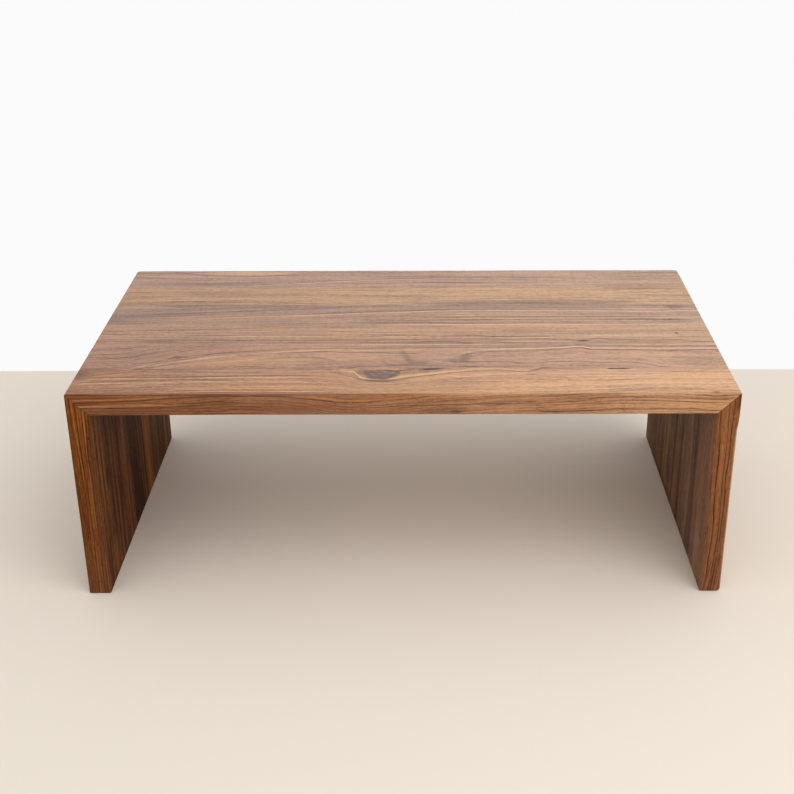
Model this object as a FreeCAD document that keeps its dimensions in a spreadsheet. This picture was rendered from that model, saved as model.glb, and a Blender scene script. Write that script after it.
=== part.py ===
import FreeCAD, Part
import math
import os
from enum import IntEnum

import Sketcher

# A low table of solid walnut: a top and two full-depth legs, each glued up from six boards.
# The legs meet the top in 45 degree mitres, so each board's grain runs on down over the corner.
# Loose tenons hidden in the mitres hold the corners together.
# Frame: X along the length, Y from front to rear, Z up, origin on the floor under the middle.

# Driving dimensions in millimetres: name, value, what it measures
DIMENSIONS = (
    ("length", 1117.6, "outside of one leg to outside of the other"),
    ("height", 387.35, "floor to the top surface"),
    ("thick", 38.1, "finished thickness of every board"),
    ("width_front", 104.9, "front board of the top and of each leg"),
    ("width_second", 107.6, "second board from the front"),
    ("width_third", 98.0, "third board from the front"),
    ("width_fourth", 100.6, "fourth board from the front"),
    ("width_fifth", 96.5, "fifth board from the front"),
    ("width_rear", 102.0, "rear board"),
    ("corner_round", 3.5, "radius of the outer corner over each mitre"),
    ("foot_round", 4.0, "radius along the lower end of each leg"),
    ("arris_round", 2.5, "radius of the long edges at the front and rear"),
    ("tenon_thick", 8.0, "loose tenon, across its flat sides"),
    ("tenon_width", 22.0, "loose tenon, over its round edges"),
    ("tenon_length", 40.0, "loose tenon, the way it goes into both boards"),
    ("tenon_inset", 18.0, "inner corner of the mitre to the middle of the tenon"),
    ("side_clear", 0.1, "glue gap between a tenon and the sides of its mortise"),
    ("end_clear", 0.8, "gap between a tenon's end and the bottom of its mortise"),
)

# The boards' widths from front to rear
WIDTHS = ("width_front", "width_second", "width_third", "width_fourth", "width_fifth", "width_rear")

MITRE_DEG = 45.0
HALF_TURN_DEG = 180.0
QUARTER = math.pi / 2
HALF_QUARTER = math.pi / 4

# The rounds at the corners and feet are wider than the round that runs into them from the long edges
LARGEST_ARRIS_SHARE = 0.9

# How near a corner of an edge lies to a plane that it is in
NEAR = 1e-6

# Where each face of a leg or a top stands, as sums of the sheet's cells
INNER_X = "Sizes.length / 2 - Sizes.thick"
UNDERSIDE_Z = "Sizes.height - Sizes.thick"


class Grip(IntEnum):
    """Which point of a line or an arc a sketch constraint takes hold of."""

    START = 1
    END = 2
    CENTRE = 3


class Datum(IntEnum):
    """A sketch's own origin, with the level axis through it, and its upright axis."""

    ORIGIN = -1
    UPRIGHT = -2


def make_sheet(doc):
    """Put the driving dimensions into a spreadsheet, one to a row."""
    sheet = doc.addObject("Spreadsheet::Sheet", "Sizes")
    for row, (name, value, meaning) in enumerate(DIMENSIONS, start=1):
        sheet.set("A%d" % row, name)
        sheet.set("B%d" % row, str(value))
        sheet.set("C%d" % row, meaning)
        sheet.setAlias("B%d" % row, name)
    doc.recompute()
    return sheet


def new_body(doc, name, place_y, turned):
    """Make an empty body, place_y along Y, turned to face the other end of the table or not."""
    body = doc.addObject("PartDesign::Body", name)
    body.Label = name
    if turned:
        half_turn = FreeCAD.Rotation(FreeCAD.Vector(0, 0, 1), HALF_TURN_DEG)
        body.Placement = FreeCAD.Placement(FreeCAD.Vector(), half_turn)
    body.setExpression("Placement.Base.y", place_y)
    return body


def new_sketch(body, name, role):
    """Lay an empty sketch on one of the body's own origin planes."""
    plane = [feature for feature in body.Origin.OriginFeatures if feature.Role == role][0]
    sketch = body.newObject("Sketcher::SketchObject", name)
    sketch.AttachmentSupport = [(plane, "")]
    sketch.MapMode = "FlatFace"
    return sketch


def line(start, end):
    """Return a straight side of an outline from (x, y) to (x, y)."""
    return Part.LineSegment(FreeCAD.Vector(*start, 0), FreeCAD.Vector(*end, 0))


def arc(centre, radius, begin, finish):
    """Return an arc of an outline, anticlockwise from one angle to the other."""
    circle = Part.Circle(FreeCAD.Vector(*centre, 0), FreeCAD.Vector(0, 0, 1), radius)
    return Part.ArcOfCircle(circle, begin, finish)


def close_outline(sketch, sides, smooth=()):
    """Add the sides of an outline in order and join each to the next, smoothly where listed."""
    sketch.addGeometry(sides, False)
    for index in range(len(sides)):
        kind = "Tangent" if index in smooth else "Coincident"
        following = (index + 1) % len(sides)
        sketch.addConstraint(Sketcher.Constraint(kind, index, Grip.END, following, Grip.START))


def fix(sketch, name, kind, value, expression, *points):
    """Add a named dimension and bind it to the spreadsheet."""
    sketch.addConstraint(Sketcher.Constraint(kind, *points, value))
    sketch.renameConstraint(sketch.ConstraintCount - 1, name)
    sketch.setExpression("Constraints." + name, expression)


def place(sketch, name, kind, value, expression, side, grip):
    """Add a named dimension from the sketch's origin to one point of a side."""
    fix(sketch, name, kind, value, expression, Datum.ORIGIN, Grip.START, side, grip)


def tie(sketch, kind, *points):
    """Add a constraint that has no size."""
    sketch.addConstraint(Sketcher.Constraint(kind, *points))


def draw_top_section(body, size):
    """Draw the section of the top: a mitre at each end and a round over each outer corner."""
    inner_x = size["length"] / 2 - size["thick"]
    low_z = size["height"] - size["thick"]
    radius = size["corner_round"]
    centre_x = size["length"] / 2 - radius
    centre_z = size["height"] - radius
    cut_x = centre_x + radius * math.cos(HALF_QUARTER)
    cut_z = centre_z + radius * math.sin(HALF_QUARTER)
    sketch = new_sketch(body, body.Name + "_section", "XZ_Plane")
    underside, right_mitre, right_round, surface, left_round, left_mitre = range(6)
    close_outline(sketch, [
        line((-inner_x, low_z), (inner_x, low_z)),
        line((inner_x, low_z), (cut_x, cut_z)),
        arc((centre_x, centre_z), radius, HALF_QUARTER, QUARTER),
        line((centre_x, size["height"]), (-centre_x, size["height"])),
        arc((-centre_x, centre_z), radius, QUARTER, QUARTER + HALF_QUARTER),
        line((-cut_x, cut_z), (-inner_x, low_z)),
    ], smooth=(right_round, surface))
    tie(sketch, "Symmetric", underside, Grip.START, underside, Grip.END, Datum.UPRIGHT)
    tie(sketch, "Symmetric", surface, Grip.START, surface, Grip.END, Datum.UPRIGHT)
    tie(sketch, "Equal", right_round, left_round)
    tie(sketch, "PointOnObject", right_round, Grip.CENTRE, right_mitre)
    tie(sketch, "PointOnObject", left_round, Grip.CENTRE, left_mitre)
    sketch.addConstraint(Sketcher.Constraint("Angle", right_mitre, math.radians(MITRE_DEG)))
    fix(sketch, "round_radius", "Radius", radius, "Sizes.corner_round", right_round)
    place(sketch, "half_span", "DistanceX", inner_x, INNER_X, underside, Grip.END)
    place(sketch, "underside_height", "DistanceY", low_z, UNDERSIDE_Z, underside, Grip.END)
    place(sketch, "surface_height", "DistanceY", size["height"], "Sizes.height", surface, Grip.START)
    return sketch


def draw_leg_section(body, size):
    """Draw the section of a leg: a mitre above and two rounds below."""
    outer_x = size["length"] / 2
    inner_x = outer_x - size["thick"]
    mitre_z = size["height"] - size["thick"]
    radius = size["corner_round"]
    foot = size["foot_round"]
    centre = (outer_x - radius, size["height"] - radius)
    cut = (centre[0] + radius * math.cos(HALF_QUARTER), centre[1] + radius * math.sin(HALF_QUARTER))
    sketch = new_sketch(body, body.Name + "_section", "XZ_Plane")
    sole, outer_foot, outer_face, top_round, mitre, inner_face, inner_foot = range(7)
    close_outline(sketch, [
        line((inner_x + foot, 0), (outer_x - foot, 0)),
        arc((outer_x - foot, foot), foot, -QUARTER, 0),
        line((outer_x, foot), (outer_x, centre[1])),
        arc(centre, radius, 0, HALF_QUARTER),
        line(cut, (inner_x, mitre_z)),
        line((inner_x, mitre_z), (inner_x, foot)),
        arc((inner_x + foot, foot), foot, 2 * QUARTER, 3 * QUARTER),
    ], smooth=(sole, outer_foot, outer_face, inner_face, inner_foot))
    tie(sketch, "Horizontal", sole)
    tie(sketch, "Vertical", outer_face)
    tie(sketch, "Vertical", inner_face)
    tie(sketch, "Equal", outer_foot, inner_foot)
    tie(sketch, "PointOnObject", top_round, Grip.CENTRE, mitre)
    sketch.addConstraint(Sketcher.Constraint("Angle", mitre, math.radians(MITRE_DEG - HALF_TURN_DEG)))
    fix(sketch, "round_radius", "Radius", radius, "Sizes.corner_round", top_round)
    fix(sketch, "foot_radius", "Radius", foot, "Sizes.foot_round", outer_foot)
    place(sketch, "outer_place", "DistanceX", outer_x, "Sizes.length / 2", outer_face, Grip.START)
    place(sketch, "inner_place", "DistanceX", inner_x, INNER_X, inner_face, Grip.START)
    place(sketch, "mitre_height", "DistanceY", mitre_z, UNDERSIDE_Z, inner_face, Grip.START)
    tie(sketch, "PointOnObject", sole, Grip.START, Datum.ORIGIN)
    return sketch


def draw_slot(body, size, width, clear):
    """Draw a tenon's round-ended section in the plane of the right mitre, clear wider all round."""
    radius = size["tenon_thick"] / 2 + size.get(clear, 0)
    reach = (size["tenon_width"] - size["tenon_thick"]) / 2
    middle = -size[width] / 2
    inset = size["tenon_inset"]
    sketch = new_sketch(body, body.Name + "_slot", "YZ_Plane")
    sketch.AttachmentOffset = FreeCAD.Placement(
        FreeCAD.Vector(), FreeCAD.Rotation(FreeCAD.Vector(1, 0, 0), MITRE_DEG))
    sketch.setExpression("AttachmentOffset.Base.y", UNDERSIDE_Z)
    sketch.setExpression("AttachmentOffset.Base.z", INNER_X)
    lower, front_round, upper, rear_round = range(4)
    close_outline(sketch, [
        line((middle - reach, inset - radius), (middle + reach, inset - radius)),
        arc((middle + reach, inset), radius, -QUARTER, QUARTER),
        line((middle + reach, inset + radius), (middle - reach, inset + radius)),
        arc((middle - reach, inset), radius, QUARTER, 3 * QUARTER),
    ], smooth=(lower, front_round, upper, rear_round))
    tie(sketch, "Horizontal", lower)
    tie(sketch, "Horizontal", upper)
    half_thick = "Sizes.tenon_thick / 2" + (" + Sizes." + clear if clear else "")
    half_reach = "(Sizes.tenon_width - Sizes.tenon_thick) / 2"
    fix(sketch, "half_thick", "Radius", radius, half_thick, front_round)
    fix(sketch, "reach", "DistanceX", 2 * reach, "2 * " + half_reach,
        rear_round, Grip.CENTRE, front_round, Grip.CENTRE)
    fix(sketch, "front_margin", "DistanceX", -middle - reach, "Sizes.%s / 2 - %s" % (width, half_reach),
        front_round, Grip.CENTRE, Datum.ORIGIN, Grip.START)
    place(sketch, "inset", "DistanceY", inset, "Sizes.tenon_inset", front_round, Grip.CENTRE)
    return sketch


def pad_board(body, sketch, width):
    """Give a section its width, from the board's rear face forwards."""
    pad = body.newObject("PartDesign::Pad", body.Name + "_blank")
    pad.Profile = sketch
    pad.setExpression("Length", "Sizes." + width)
    body.Document.recompute()
    return pad


def ease_edges(body, blank, face_y):
    """Round the long edges of the blank that lie in the plane y = face_y, up to the mitres."""
    names = []
    for index, edge in enumerate(blank.Shape.Edges, start=1):
        box = edge.BoundBox
        in_plane = abs(box.YMin - face_y) < NEAR and abs(box.YMax - face_y) < NEAR
        ends = [vertex.Point for vertex in edge.Vertexes]
        slope = abs(abs(ends[1].x - ends[0].x) - abs(ends[1].z - ends[0].z))
        on_mitre = edge.Curve.TypeId == "Part::GeomLine" and slope < NEAR
        if in_plane and not on_mitre:
            names.append("Edge%d" % index)
    fillet = body.newObject("PartDesign::Fillet", body.Name + "_eased")
    fillet.Base = (blank, names)
    widest = "%s * min(Sizes.corner_round; Sizes.foot_round)" % LARGEST_ARRIS_SHARE
    fillet.setExpression("Radius", "min(Sizes.arris_round; %s)" % widest)
    body.Document.recompute()
    return fillet


def cut_mortise(body, size, width, into_leg):
    """Cut the mortise of the right mitre, square to the mitre's face."""
    slot = draw_slot(body, size, width, "side_clear")
    mortise = body.newObject("PartDesign::Pocket", body.Name + "_mortise")
    mortise.Profile = slot
    mortise.Reversed = into_leg
    mortise.setExpression("Length", "Sizes.tenon_length / 2 + Sizes.end_clear")
    return mortise


def repeat_on_left(body, mortise):
    """Repeat the mortise at the left mitre."""
    plane = [feature for feature in body.Origin.OriginFeatures if feature.Role == "YZ_Plane"][0]
    mirrored = body.newObject("PartDesign::Mirrored", body.Name + "_left_mortise")
    mirrored.Originals = [mortise]
    mirrored.MirrorPlane = (plane, [""])
    body.Tip = mirrored
    return mirrored


def rear_face(count):
    """Return the sum that places the rear face of the board numbered count from the front."""
    reach = " + ".join("Sizes." + name for name in WIDTHS[:count])
    depth = " + ".join("Sizes." + name for name in WIDTHS)
    return "%s - (%s) / 2" % (reach, depth)


def front_face(count):
    """Return the sum that places the front face of the board numbered count from the front."""
    return "%s - Sizes.%s" % (rear_face(count), WIDTHS[count - 1])


def eased_planes(count, size, turned):
    """Return the planes, in the board's own frame, whose edges are on the table's outside."""
    forward, rearward = -size[WIDTHS[count - 1]], 0.0
    if turned:
        forward, rearward = rearward, forward
    planes = []
    if count == 1:
        planes.append(forward)
    if count == len(WIDTHS):
        planes.append(rearward)
    return planes


def make_top_board(doc, size, count):
    """Make one board of the top, mitred and mortised at both ends."""
    width = WIDTHS[count - 1]
    body = new_body(doc, "top_board_%d" % count, rear_face(count), False)
    shape = pad_board(body, draw_top_section(body, size), width)
    for plane in eased_planes(count, size, False):
        shape = ease_edges(body, shape, plane)
    mortise = cut_mortise(body, size, width, False)
    doc.recompute()
    repeat_on_left(body, mortise)
    return body


def make_leg_board(doc, size, side, count):
    """Make one board of a leg: the left leg's is the right leg's, turned about the upright axis."""
    width = WIDTHS[count - 1]
    turned = side == "left"
    place = front_face(count) if turned else rear_face(count)
    body = new_body(doc, "%s_leg_board_%d" % (side, count), place, turned)
    shape = pad_board(body, draw_leg_section(body, size), width)
    for plane in eased_planes(count, size, turned):
        shape = ease_edges(body, shape, plane)
    cut_mortise(body, size, width, True)
    return body


def make_tenon(doc, size, side, count):
    """Make the loose tenon that lies half in a top board and half in the leg board below it."""
    width = WIDTHS[count - 1]
    turned = side == "left"
    place = front_face(count) if turned else rear_face(count)
    body = new_body(doc, "%s_mitre_tenon_%d" % (side, count), place, turned)
    pad = body.newObject("PartDesign::Pad", body.Name + "_slip")
    pad.Profile = draw_slot(body, size, width, "")
    pad.SideType = "Symmetric"
    pad.setExpression("Length", "Sizes.tenon_length")
    return body


def expected_volumes(size):
    """Work out each kind of piece's volume by hand, leaving out the eased edges."""
    thick, corner, foot = size["thick"], size["corner_round"], size["foot_round"]
    corner_loss = (1 - QUARTER / 2) * corner ** 2
    foot_loss = (1 - QUARTER / 2) * foot ** 2
    radius = size["tenon_thick"] / 2
    flat = size["tenon_width"] - size["tenon_thick"]
    clear = size["side_clear"]
    tenon = (2 * radius * flat + math.pi * radius ** 2) * size["tenon_length"]
    wide = radius + clear
    section = 2 * wide * flat + math.pi * wide ** 2
    mortise = section * (size["tenon_length"] / 2 + size["end_clear"])
    top = (size["length"] - thick) * thick - corner_loss
    leg = (size["height"] - thick / 2) * thick - corner_loss / 2 - 2 * foot_loss
    return {"top": (top, 2 * mortise), "leg": (leg, mortise), "tenon": (0.0, -tenon)}


def check_pieces(doc, bodies, size):
    """Stop if a feature failed, a shape isn't sound, or a mortise cut nothing."""
    failed = [item.Name for item in doc.Objects if {"Invalid", "Error"} & set(item.State)]
    if failed:
        raise RuntimeError("features failed: " + ", ".join(failed))
    volumes = expected_volumes(size)
    for body in bodies:
        shape = body.Shape
        if shape.isNull() or not shape.isValid() or len(shape.Solids) != 1:
            raise RuntimeError("not one sound solid: " + body.Label)
        count = int(body.Label.split("_")[-1])
        kind = [name for name in ("tenon", "leg", "top") if name in body.Label][0]
        section, cut = volumes[kind]
        expected = section * size[WIDTHS[count - 1]] - cut
        eased = kind != "tenon" and count in (1, len(WIDTHS))
        short = expected - shape.Volume
        if short < -1 or (short > 1 and not eased):
            raise RuntimeError("%s has %.1f mm3, not %.1f" % (body.Label, shape.Volume, expected))


def main():
    doc = FreeCAD.newDocument("waterfall_table")
    sheet = make_sheet(doc)
    size = {name: float(sheet.get(name)) for name, value, meaning in DIMENSIONS}
    bodies = []
    for count in range(1, len(WIDTHS) + 1):
        bodies.append(make_top_board(doc, size, count))
    for side in ("left", "right"):
        for count in range(1, len(WIDTHS) + 1):
            bodies.append(make_leg_board(doc, size, side, count))
            bodies.append(make_tenon(doc, size, side, count))
    doc.recompute()
    check_pieces(doc, bodies, size)
    os.makedirs("parts", exist_ok=True)
    for body in bodies:
        body.Shape.exportStep(os.path.join("parts", body.Label + ".step"))
        box = body.Shape.BoundBox
        print("%-22s %10.1f mm3  x %8.2f %8.2f  y %8.2f %8.2f  z %7.2f %7.2f" % (
            body.Label, body.Shape.Volume, box.XMin, box.XMax, box.YMin, box.YMax, box.ZMin, box.ZMax))


main()
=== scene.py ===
"""A low waterfall table of solid walnut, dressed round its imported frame.

The top and both legs are glued up from the same six boards, and the grain of each board runs over the
mitred corners and down the legs. Places in the wood are therefore given in the board's own frame, as if
the table were still one flat panel: `along` is measured from the middle of the top and carries on down
the legs, `across` from the rear edge to the front, and `deep` from the outer face inwards. All three are
in millimetres. The scene itself is in metres, with +Z up and the front towards -Y.
"""

from __future__ import annotations

import logging
import math
from dataclasses import dataclass
from enum import Enum

import bpy
import numpy as np
from mathutils import Matrix, Vector

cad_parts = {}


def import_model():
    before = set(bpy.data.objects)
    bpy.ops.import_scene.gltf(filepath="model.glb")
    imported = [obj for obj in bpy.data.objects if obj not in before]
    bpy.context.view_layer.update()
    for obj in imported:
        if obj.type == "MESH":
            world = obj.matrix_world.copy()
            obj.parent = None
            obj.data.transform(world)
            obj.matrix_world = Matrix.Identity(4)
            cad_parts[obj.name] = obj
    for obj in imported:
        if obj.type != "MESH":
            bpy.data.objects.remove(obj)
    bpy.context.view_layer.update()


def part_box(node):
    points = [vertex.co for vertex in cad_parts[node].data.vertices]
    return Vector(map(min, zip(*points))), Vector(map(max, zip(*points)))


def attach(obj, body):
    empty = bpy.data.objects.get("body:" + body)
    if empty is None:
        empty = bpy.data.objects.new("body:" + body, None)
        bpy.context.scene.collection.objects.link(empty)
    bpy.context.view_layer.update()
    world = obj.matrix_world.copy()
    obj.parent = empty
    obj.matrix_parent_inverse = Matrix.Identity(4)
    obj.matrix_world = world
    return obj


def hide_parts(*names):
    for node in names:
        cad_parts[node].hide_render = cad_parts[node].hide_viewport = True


LOG = logging.getLogger("waterfall_table")
MM = 0.001
"""One millimetre in the scene's metres."""
NO_GAP = 0.01
"""A distance that counts as none, in millimetres."""
ALONG, ACROSS, DEEP = range(3)
"""The columns of points in a board's own frame."""
X, Y, Z = range(3)
"""The columns of points on the table."""

Tree, Node, Socket = bpy.types.NodeTree, bpy.types.Node, bpy.types.NodeSocket
Material, Piece = bpy.types.Material, bpy.types.Object
Colour = tuple[float, float, float]
"""Red, green and blue as the eye reads them, 0 to 255."""
Place = tuple[float, float, float]
"""A point's x, y and z."""
Course = tuple[tuple[float, float], ...]
"""A line along the grain: pairs of the place along it and how far it lies or strays to the side."""


def linear(colour: Colour) -> tuple[float, float, float, float]:
    """Turn a colour as read by eye into the linear values that shaders take.

    Args:
        colour: red, green and blue, 0 to 255.

    Returns:
        Linear red, green, blue and a full alpha.
    """
    toe, slope, lift, power = 0.04045, 12.92, 0.055, 2.4
    parts = []
    for part in colour:
        share = part / 255
        parts.append(share / slope if share <= toe else ((share + lift) / (1 + lift)) ** power)
    return (*parts, 1.0)


class Slab(Enum):
    """The three glued-up slabs of the table."""

    TOP = "top"
    LEFT_LEG = "left_leg"
    RIGHT_LEG = "right_leg"

    @property
    def side(self) -> int:
        """Return -1 for the left leg, 1 for the right leg and 0 for the top."""
        return {Slab.TOP: 0, Slab.LEFT_LEG: -1, Slab.RIGHT_LEG: 1}[self]


@dataclass(frozen=True)
class TableSizes:
    """The table's own sizes, read from the frame, in millimetres."""

    half_length: float
    depth: float
    height: float
    thick: float
    board_edges: tuple[float, ...]

    @classmethod
    def from_frame(cls, boards: int) -> TableSizes:
        """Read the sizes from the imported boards.

        Args:
            boards: how many boards a slab has.

        Returns:
            The sizes, with the boards' edges measured from the rear edge of the table.
        """
        low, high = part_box("top_board_1")
        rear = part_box(f"top_board_{boards}")[1].y
        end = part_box("right_leg_board_1")[1].x
        edges = [(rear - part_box(f"top_board_{count}")[1].y) / MM for count in range(boards, 0, -1)]
        return cls(
            half_length=end / MM,
            depth=(rear - low.y) / MM,
            height=high.z / MM,
            thick=(high.z - low.z) / MM,
            board_edges=(*edges, (rear - low.y) / MM),
        )

    def board_span(self, strip: int) -> tuple[float, float]:
        """Return the rear and front edge of a strip, counted from 1 at the front, across the table."""
        last = len(self.board_edges) - 1
        return self.board_edges[last - strip], self.board_edges[last - strip + 1]

    def slab_span(self, slab: Slab) -> tuple[float, float]:
        """Find where a slab lies along the grain.

        Args:
            slab: the slab.

        Returns:
            The lowest and highest place on its outer face.
        """
        if slab is Slab.TOP:
            return -self.half_length, self.half_length
        ends = (slab.side * self.half_length, slab.side * (self.half_length + self.height))
        return min(ends), max(ends)


# Numbers and colours that vary through the wood


class Number:
    """A number that varies through the wood: one socket of a material's node tree."""

    def __init__(self, tree: Tree, socket: Socket) -> None:
        """Hold one output socket of the tree."""
        self.tree = tree
        self.socket = socket

    def _sum(self, operation: str, *others: Number | float, clamp: bool = False) -> Number:
        """Join this number and others in one Math node.

        Args:
            operation: the node's operation.
            others: the other numbers that it takes.
            clamp: whether the result is kept between 0 and 1.

        Returns:
            The result.
        """
        node = self.tree.nodes.new("ShaderNodeMath")
        node.operation = operation
        node.use_clamp = clamp
        for index, value in enumerate((self, *others)):
            if isinstance(value, Number):
                self.tree.links.new(value.socket, node.inputs[index])
            else:
                node.inputs[index].default_value = value
        return Number(self.tree, node.outputs[0])

    def __add__(self, other: Number | float) -> Number:
        """Return the sum."""
        return self._sum("ADD", other)

    def __sub__(self, other: Number | float) -> Number:
        """Return the difference."""
        return self._sum("SUBTRACT", other)

    def __mul__(self, other: Number | float) -> Number:
        """Return the product."""
        return self._sum("MULTIPLY", other)

    def plus(self, other: Number, times: float) -> Number:
        """Add another number some times over."""
        return other._sum("MULTIPLY_ADD", times, self)

    def line(self, times: float, start: float) -> Number:
        """Return this number some times over, counted from a start."""
        return self._sum("MULTIPLY_ADD", times, start)

    def larger(self, other: Number | float) -> Number:
        """Return the larger of the two."""
        return self._sum("MAXIMUM", other)

    def squared(self) -> Number:
        """Return the square."""
        return self._sum("MULTIPLY", self)

    def root(self) -> Number:
        """Return the square root."""
        return self._sum("SQRT")

    def size(self) -> Number:
        """Return the number without its sign."""
        return self._sum("ABSOLUTE")

    def wave(self) -> Number:
        """Return the sine of the number."""
        return self._sum("SINE")

    def limited(self) -> Number:
        """Keep the number between 0 and 1."""
        return self._sum("ADD", 0.0, clamp=True)

    def fraction(self) -> Number:
        """Return what is left over a whole number."""
        return self._sum("FRACT")

    def near(self, width: float) -> Number:
        """Return 1 where this number is 0, falling smoothly to 0 at the given width either side."""
        return self.size().rise(width, 0.0)

    def rise(self, start: float, end: float, low: float = 0.0, high: float = 1.0,
             kind: str = "SMOOTHSTEP") -> Number:
        """Go smoothly from one value to another.

        Args:
            start: where this number gives `low`.
            end: where it gives `high`; it may be below `start`.
            low: the value before the rise.
            high: the value after it.
            kind: how it goes between them.

        Returns:
            The number that rises.
        """
        node = self.tree.nodes.new("ShaderNodeMapRange")
        node.interpolation_type = kind
        self.tree.links.new(self.socket, node.inputs["Value"])
        for name, value in (("From Min", start), ("From Max", end), ("To Min", low), ("To Max", high)):
            node.inputs[name].default_value = value
        return Number(self.tree, node.outputs["Result"])

    def ramp(self, start: float, end: float, low: float = 0.0, high: float = 1.0) -> Number:
        """Go evenly from one value to another, with the same arguments as `rise`."""
        return self.rise(start, end, low, high, "LINEAR")

    def path(self, points: Course) -> Number:
        """Draw a smooth line through given points.

        Args:
            points: pairs of this number's value and the line's value there, in order.

        Returns:
            The line's value; it stays level past both ends.
        """
        starts = [point[0] for point in points]
        heights = [point[1] for point in points]
        span = (min(starts), max(starts))
        low, high = min(heights), max(heights)
        room = max(high - low, 1.0)
        scaled = self.tree.nodes.new("ShaderNodeMapRange")
        self.tree.links.new(self.socket, scaled.inputs["Value"])
        scaled.inputs["From Min"].default_value = span[0]
        scaled.inputs["From Max"].default_value = span[1]
        node = self.tree.nodes.new("ShaderNodeFloatCurve")
        self.tree.links.new(scaled.outputs["Result"], node.inputs["Value"])
        curve = node.mapping.curves[0]
        while len(curve.points) < len(points):
            curve.points.new(0.5, 0.5)
        for spot, (start, height) in zip(curve.points, points):
            spot.location = ((start - span[0]) / (span[1] - span[0]), (height - low) / room)
            spot.handle_type = "AUTO_CLAMPED"
        node.mapping.update()
        return Number(self.tree, node.outputs["Value"]).line(room, low)


class Tint:
    """A colour that varies through the wood."""

    def __init__(self, tree: Tree, source: Socket | Colour) -> None:
        """Start from one even colour, or from a colour socket of the tree."""
        self.tree = tree
        self.source = source

    def toward(self, colour: Colour | Tint, amount: Number) -> Tint:
        """Mix another colour in where the amount is above 0.

        Args:
            colour: the colour to go to.
            amount: 0 keeps this colour, 1 gives the other.

        Returns:
            The new tint.
        """
        node = self.tree.nodes.new("ShaderNodeMix")
        node.data_type = "RGBA"
        factor, first, second = node.inputs[0], node.inputs[6], node.inputs[7]
        self.tree.links.new(amount.socket, factor)
        other = colour.source if isinstance(colour, Tint) else colour
        for source, socket in ((self.source, first), (other, second)):
            if isinstance(source, Socket):
                self.tree.links.new(source, socket)
            else:
                socket.default_value = linear(source)
        return Tint(self.tree, node.outputs[2])


def start_finish(name: str) -> tuple[Material, Tree, Node]:
    """Start a material.

    Args:
        name: the material's name.

    Returns:
        The material, its node tree and its shader.
    """
    material = bpy.data.materials.new(name)
    material.use_nodes = True
    return material, material.node_tree, material.node_tree.nodes["Principled BSDF"]


def read_place(tree: Tree, kind: str = "Object") -> tuple[Number, Number, Number]:
    """Read where a point lies.

    Args:
        tree: the node tree.
        kind: which of the coordinates to read.

    Returns:
        Its place on each axis.
    """
    place = tree.nodes.new("ShaderNodeTexCoord")
    parts = tree.nodes.new("ShaderNodeSeparateXYZ")
    tree.links.new(place.outputs[kind], parts.inputs[0])
    x, y, z = (Number(tree, output) for output in parts.outputs)
    return x, y, z


def add_relief(shader: Node, height: Number, strength: float, distance: float) -> None:
    """Let the finest figure stand in relief.

    Args:
        shader: the material's shader.
        height: how high the surface stands.
        strength: how strongly that shows.
        distance: how high a height of 1 is, in millimetres.
    """
    tree = height.tree
    relief = tree.nodes.new("ShaderNodeBump")
    relief.inputs["Strength"].default_value = strength
    relief.inputs["Distance"].default_value = distance * MM
    tree.links.new(height.socket, relief.inputs["Height"])
    tree.links.new(relief.outputs["Normal"], shader.inputs["Normal"])


class Layer(Enum):
    """The layers of streaks in the wood.

    Each holds how long and how wide a streak is in millimetres, how many finer layers it has, and a seed
    that keeps it unlike the others.
    """

    WANDER = (170, 60, 1, 40)
    BANDS = (700, 22, 1, 0)
    STREAKS = (260, 3.6, 3, 11)
    VEINS = (380, 7, 2, 29)
    FIBRES = (80, 1.1, 1, 23)
    RING_DRIFT = (480, 30, 1, 17)
    RING_STRENGTH = (330, 26, 1, 91)
    PORES = (11, 0.6, 0, 31)
    CURL = (4, 34, 1, 57)
    PATCHES = (240, 60, 1, 71)
    FLECKS = (11, 3.4, 1, 97)
    LINES = (400, 9, 1, 103)
    LINE_GAPS = (90, 14, 1, 109)
    BREAKS = (42, 2.6, 1, 83)
    KNOT_SKIN = (16, 10, 2, 3.1)
    KNOT_LAYERS = (26, 5, 1, 4.7)
    BEECH_FLECKS = (5, 0.9, 1, 5)
    BEECH_BANDS = (60, 6, 1, 9)


@dataclass(frozen=True)
class Spot:
    """Where a point of the wood lies, in the board's own frame."""

    along: Number
    across: Number
    deep: Number

    def grain(self, layer: Layer, seed: float = 0.0) -> Number:
        """Return streaks that run with the grain.

        Args:
            layer: which of the layers.
            seed: moves the pattern, so that no two boards are alike.

        Returns:
            A number about 0.5, between 0 and 1.
        """
        length, width, detail, shift = layer.value
        tree = self.along.tree
        place = tree.nodes.new("ShaderNodeCombineXYZ")
        parts = ((self.along, 1 / length), (self.across, 1 / width), (self.deep, 1 / width))
        for socket, (part, scale) in zip(place.inputs, parts):
            tree.links.new(part.line(scale, seed + shift).socket, socket)
        node = tree.nodes.new("ShaderNodeTexNoise")
        node.noise_dimensions = "3D"
        node.inputs["Scale"].default_value = 1.0
        node.inputs["Detail"].default_value = detail
        node.inputs["Roughness"].default_value = 0.55
        tree.links.new(place.outputs[0], node.inputs["Vector"])
        return Number(tree, node.outputs[0])

    def streak(self, layer: Layer, seed: float = 0.0) -> Number:
        """Return the same streaks as `grain`, about 0 and mostly within 1 either way."""
        return self.grain(layer, seed).line(4.0, -2.0)


# The figure of the wood


class Face(Enum):
    """The face of a board that a mark lies on."""

    OUTER = "outer"
    FRONT = "front"
    INNER = "inner"


FACE_REACH = {Face.OUTER: (14.0, 4.0), Face.FRONT: (7.0, 2.0), Face.INNER: (6.0, 2.0)}
"""How far below its face a mark is gone, and how far it stays whole, in millimetres."""


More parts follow.
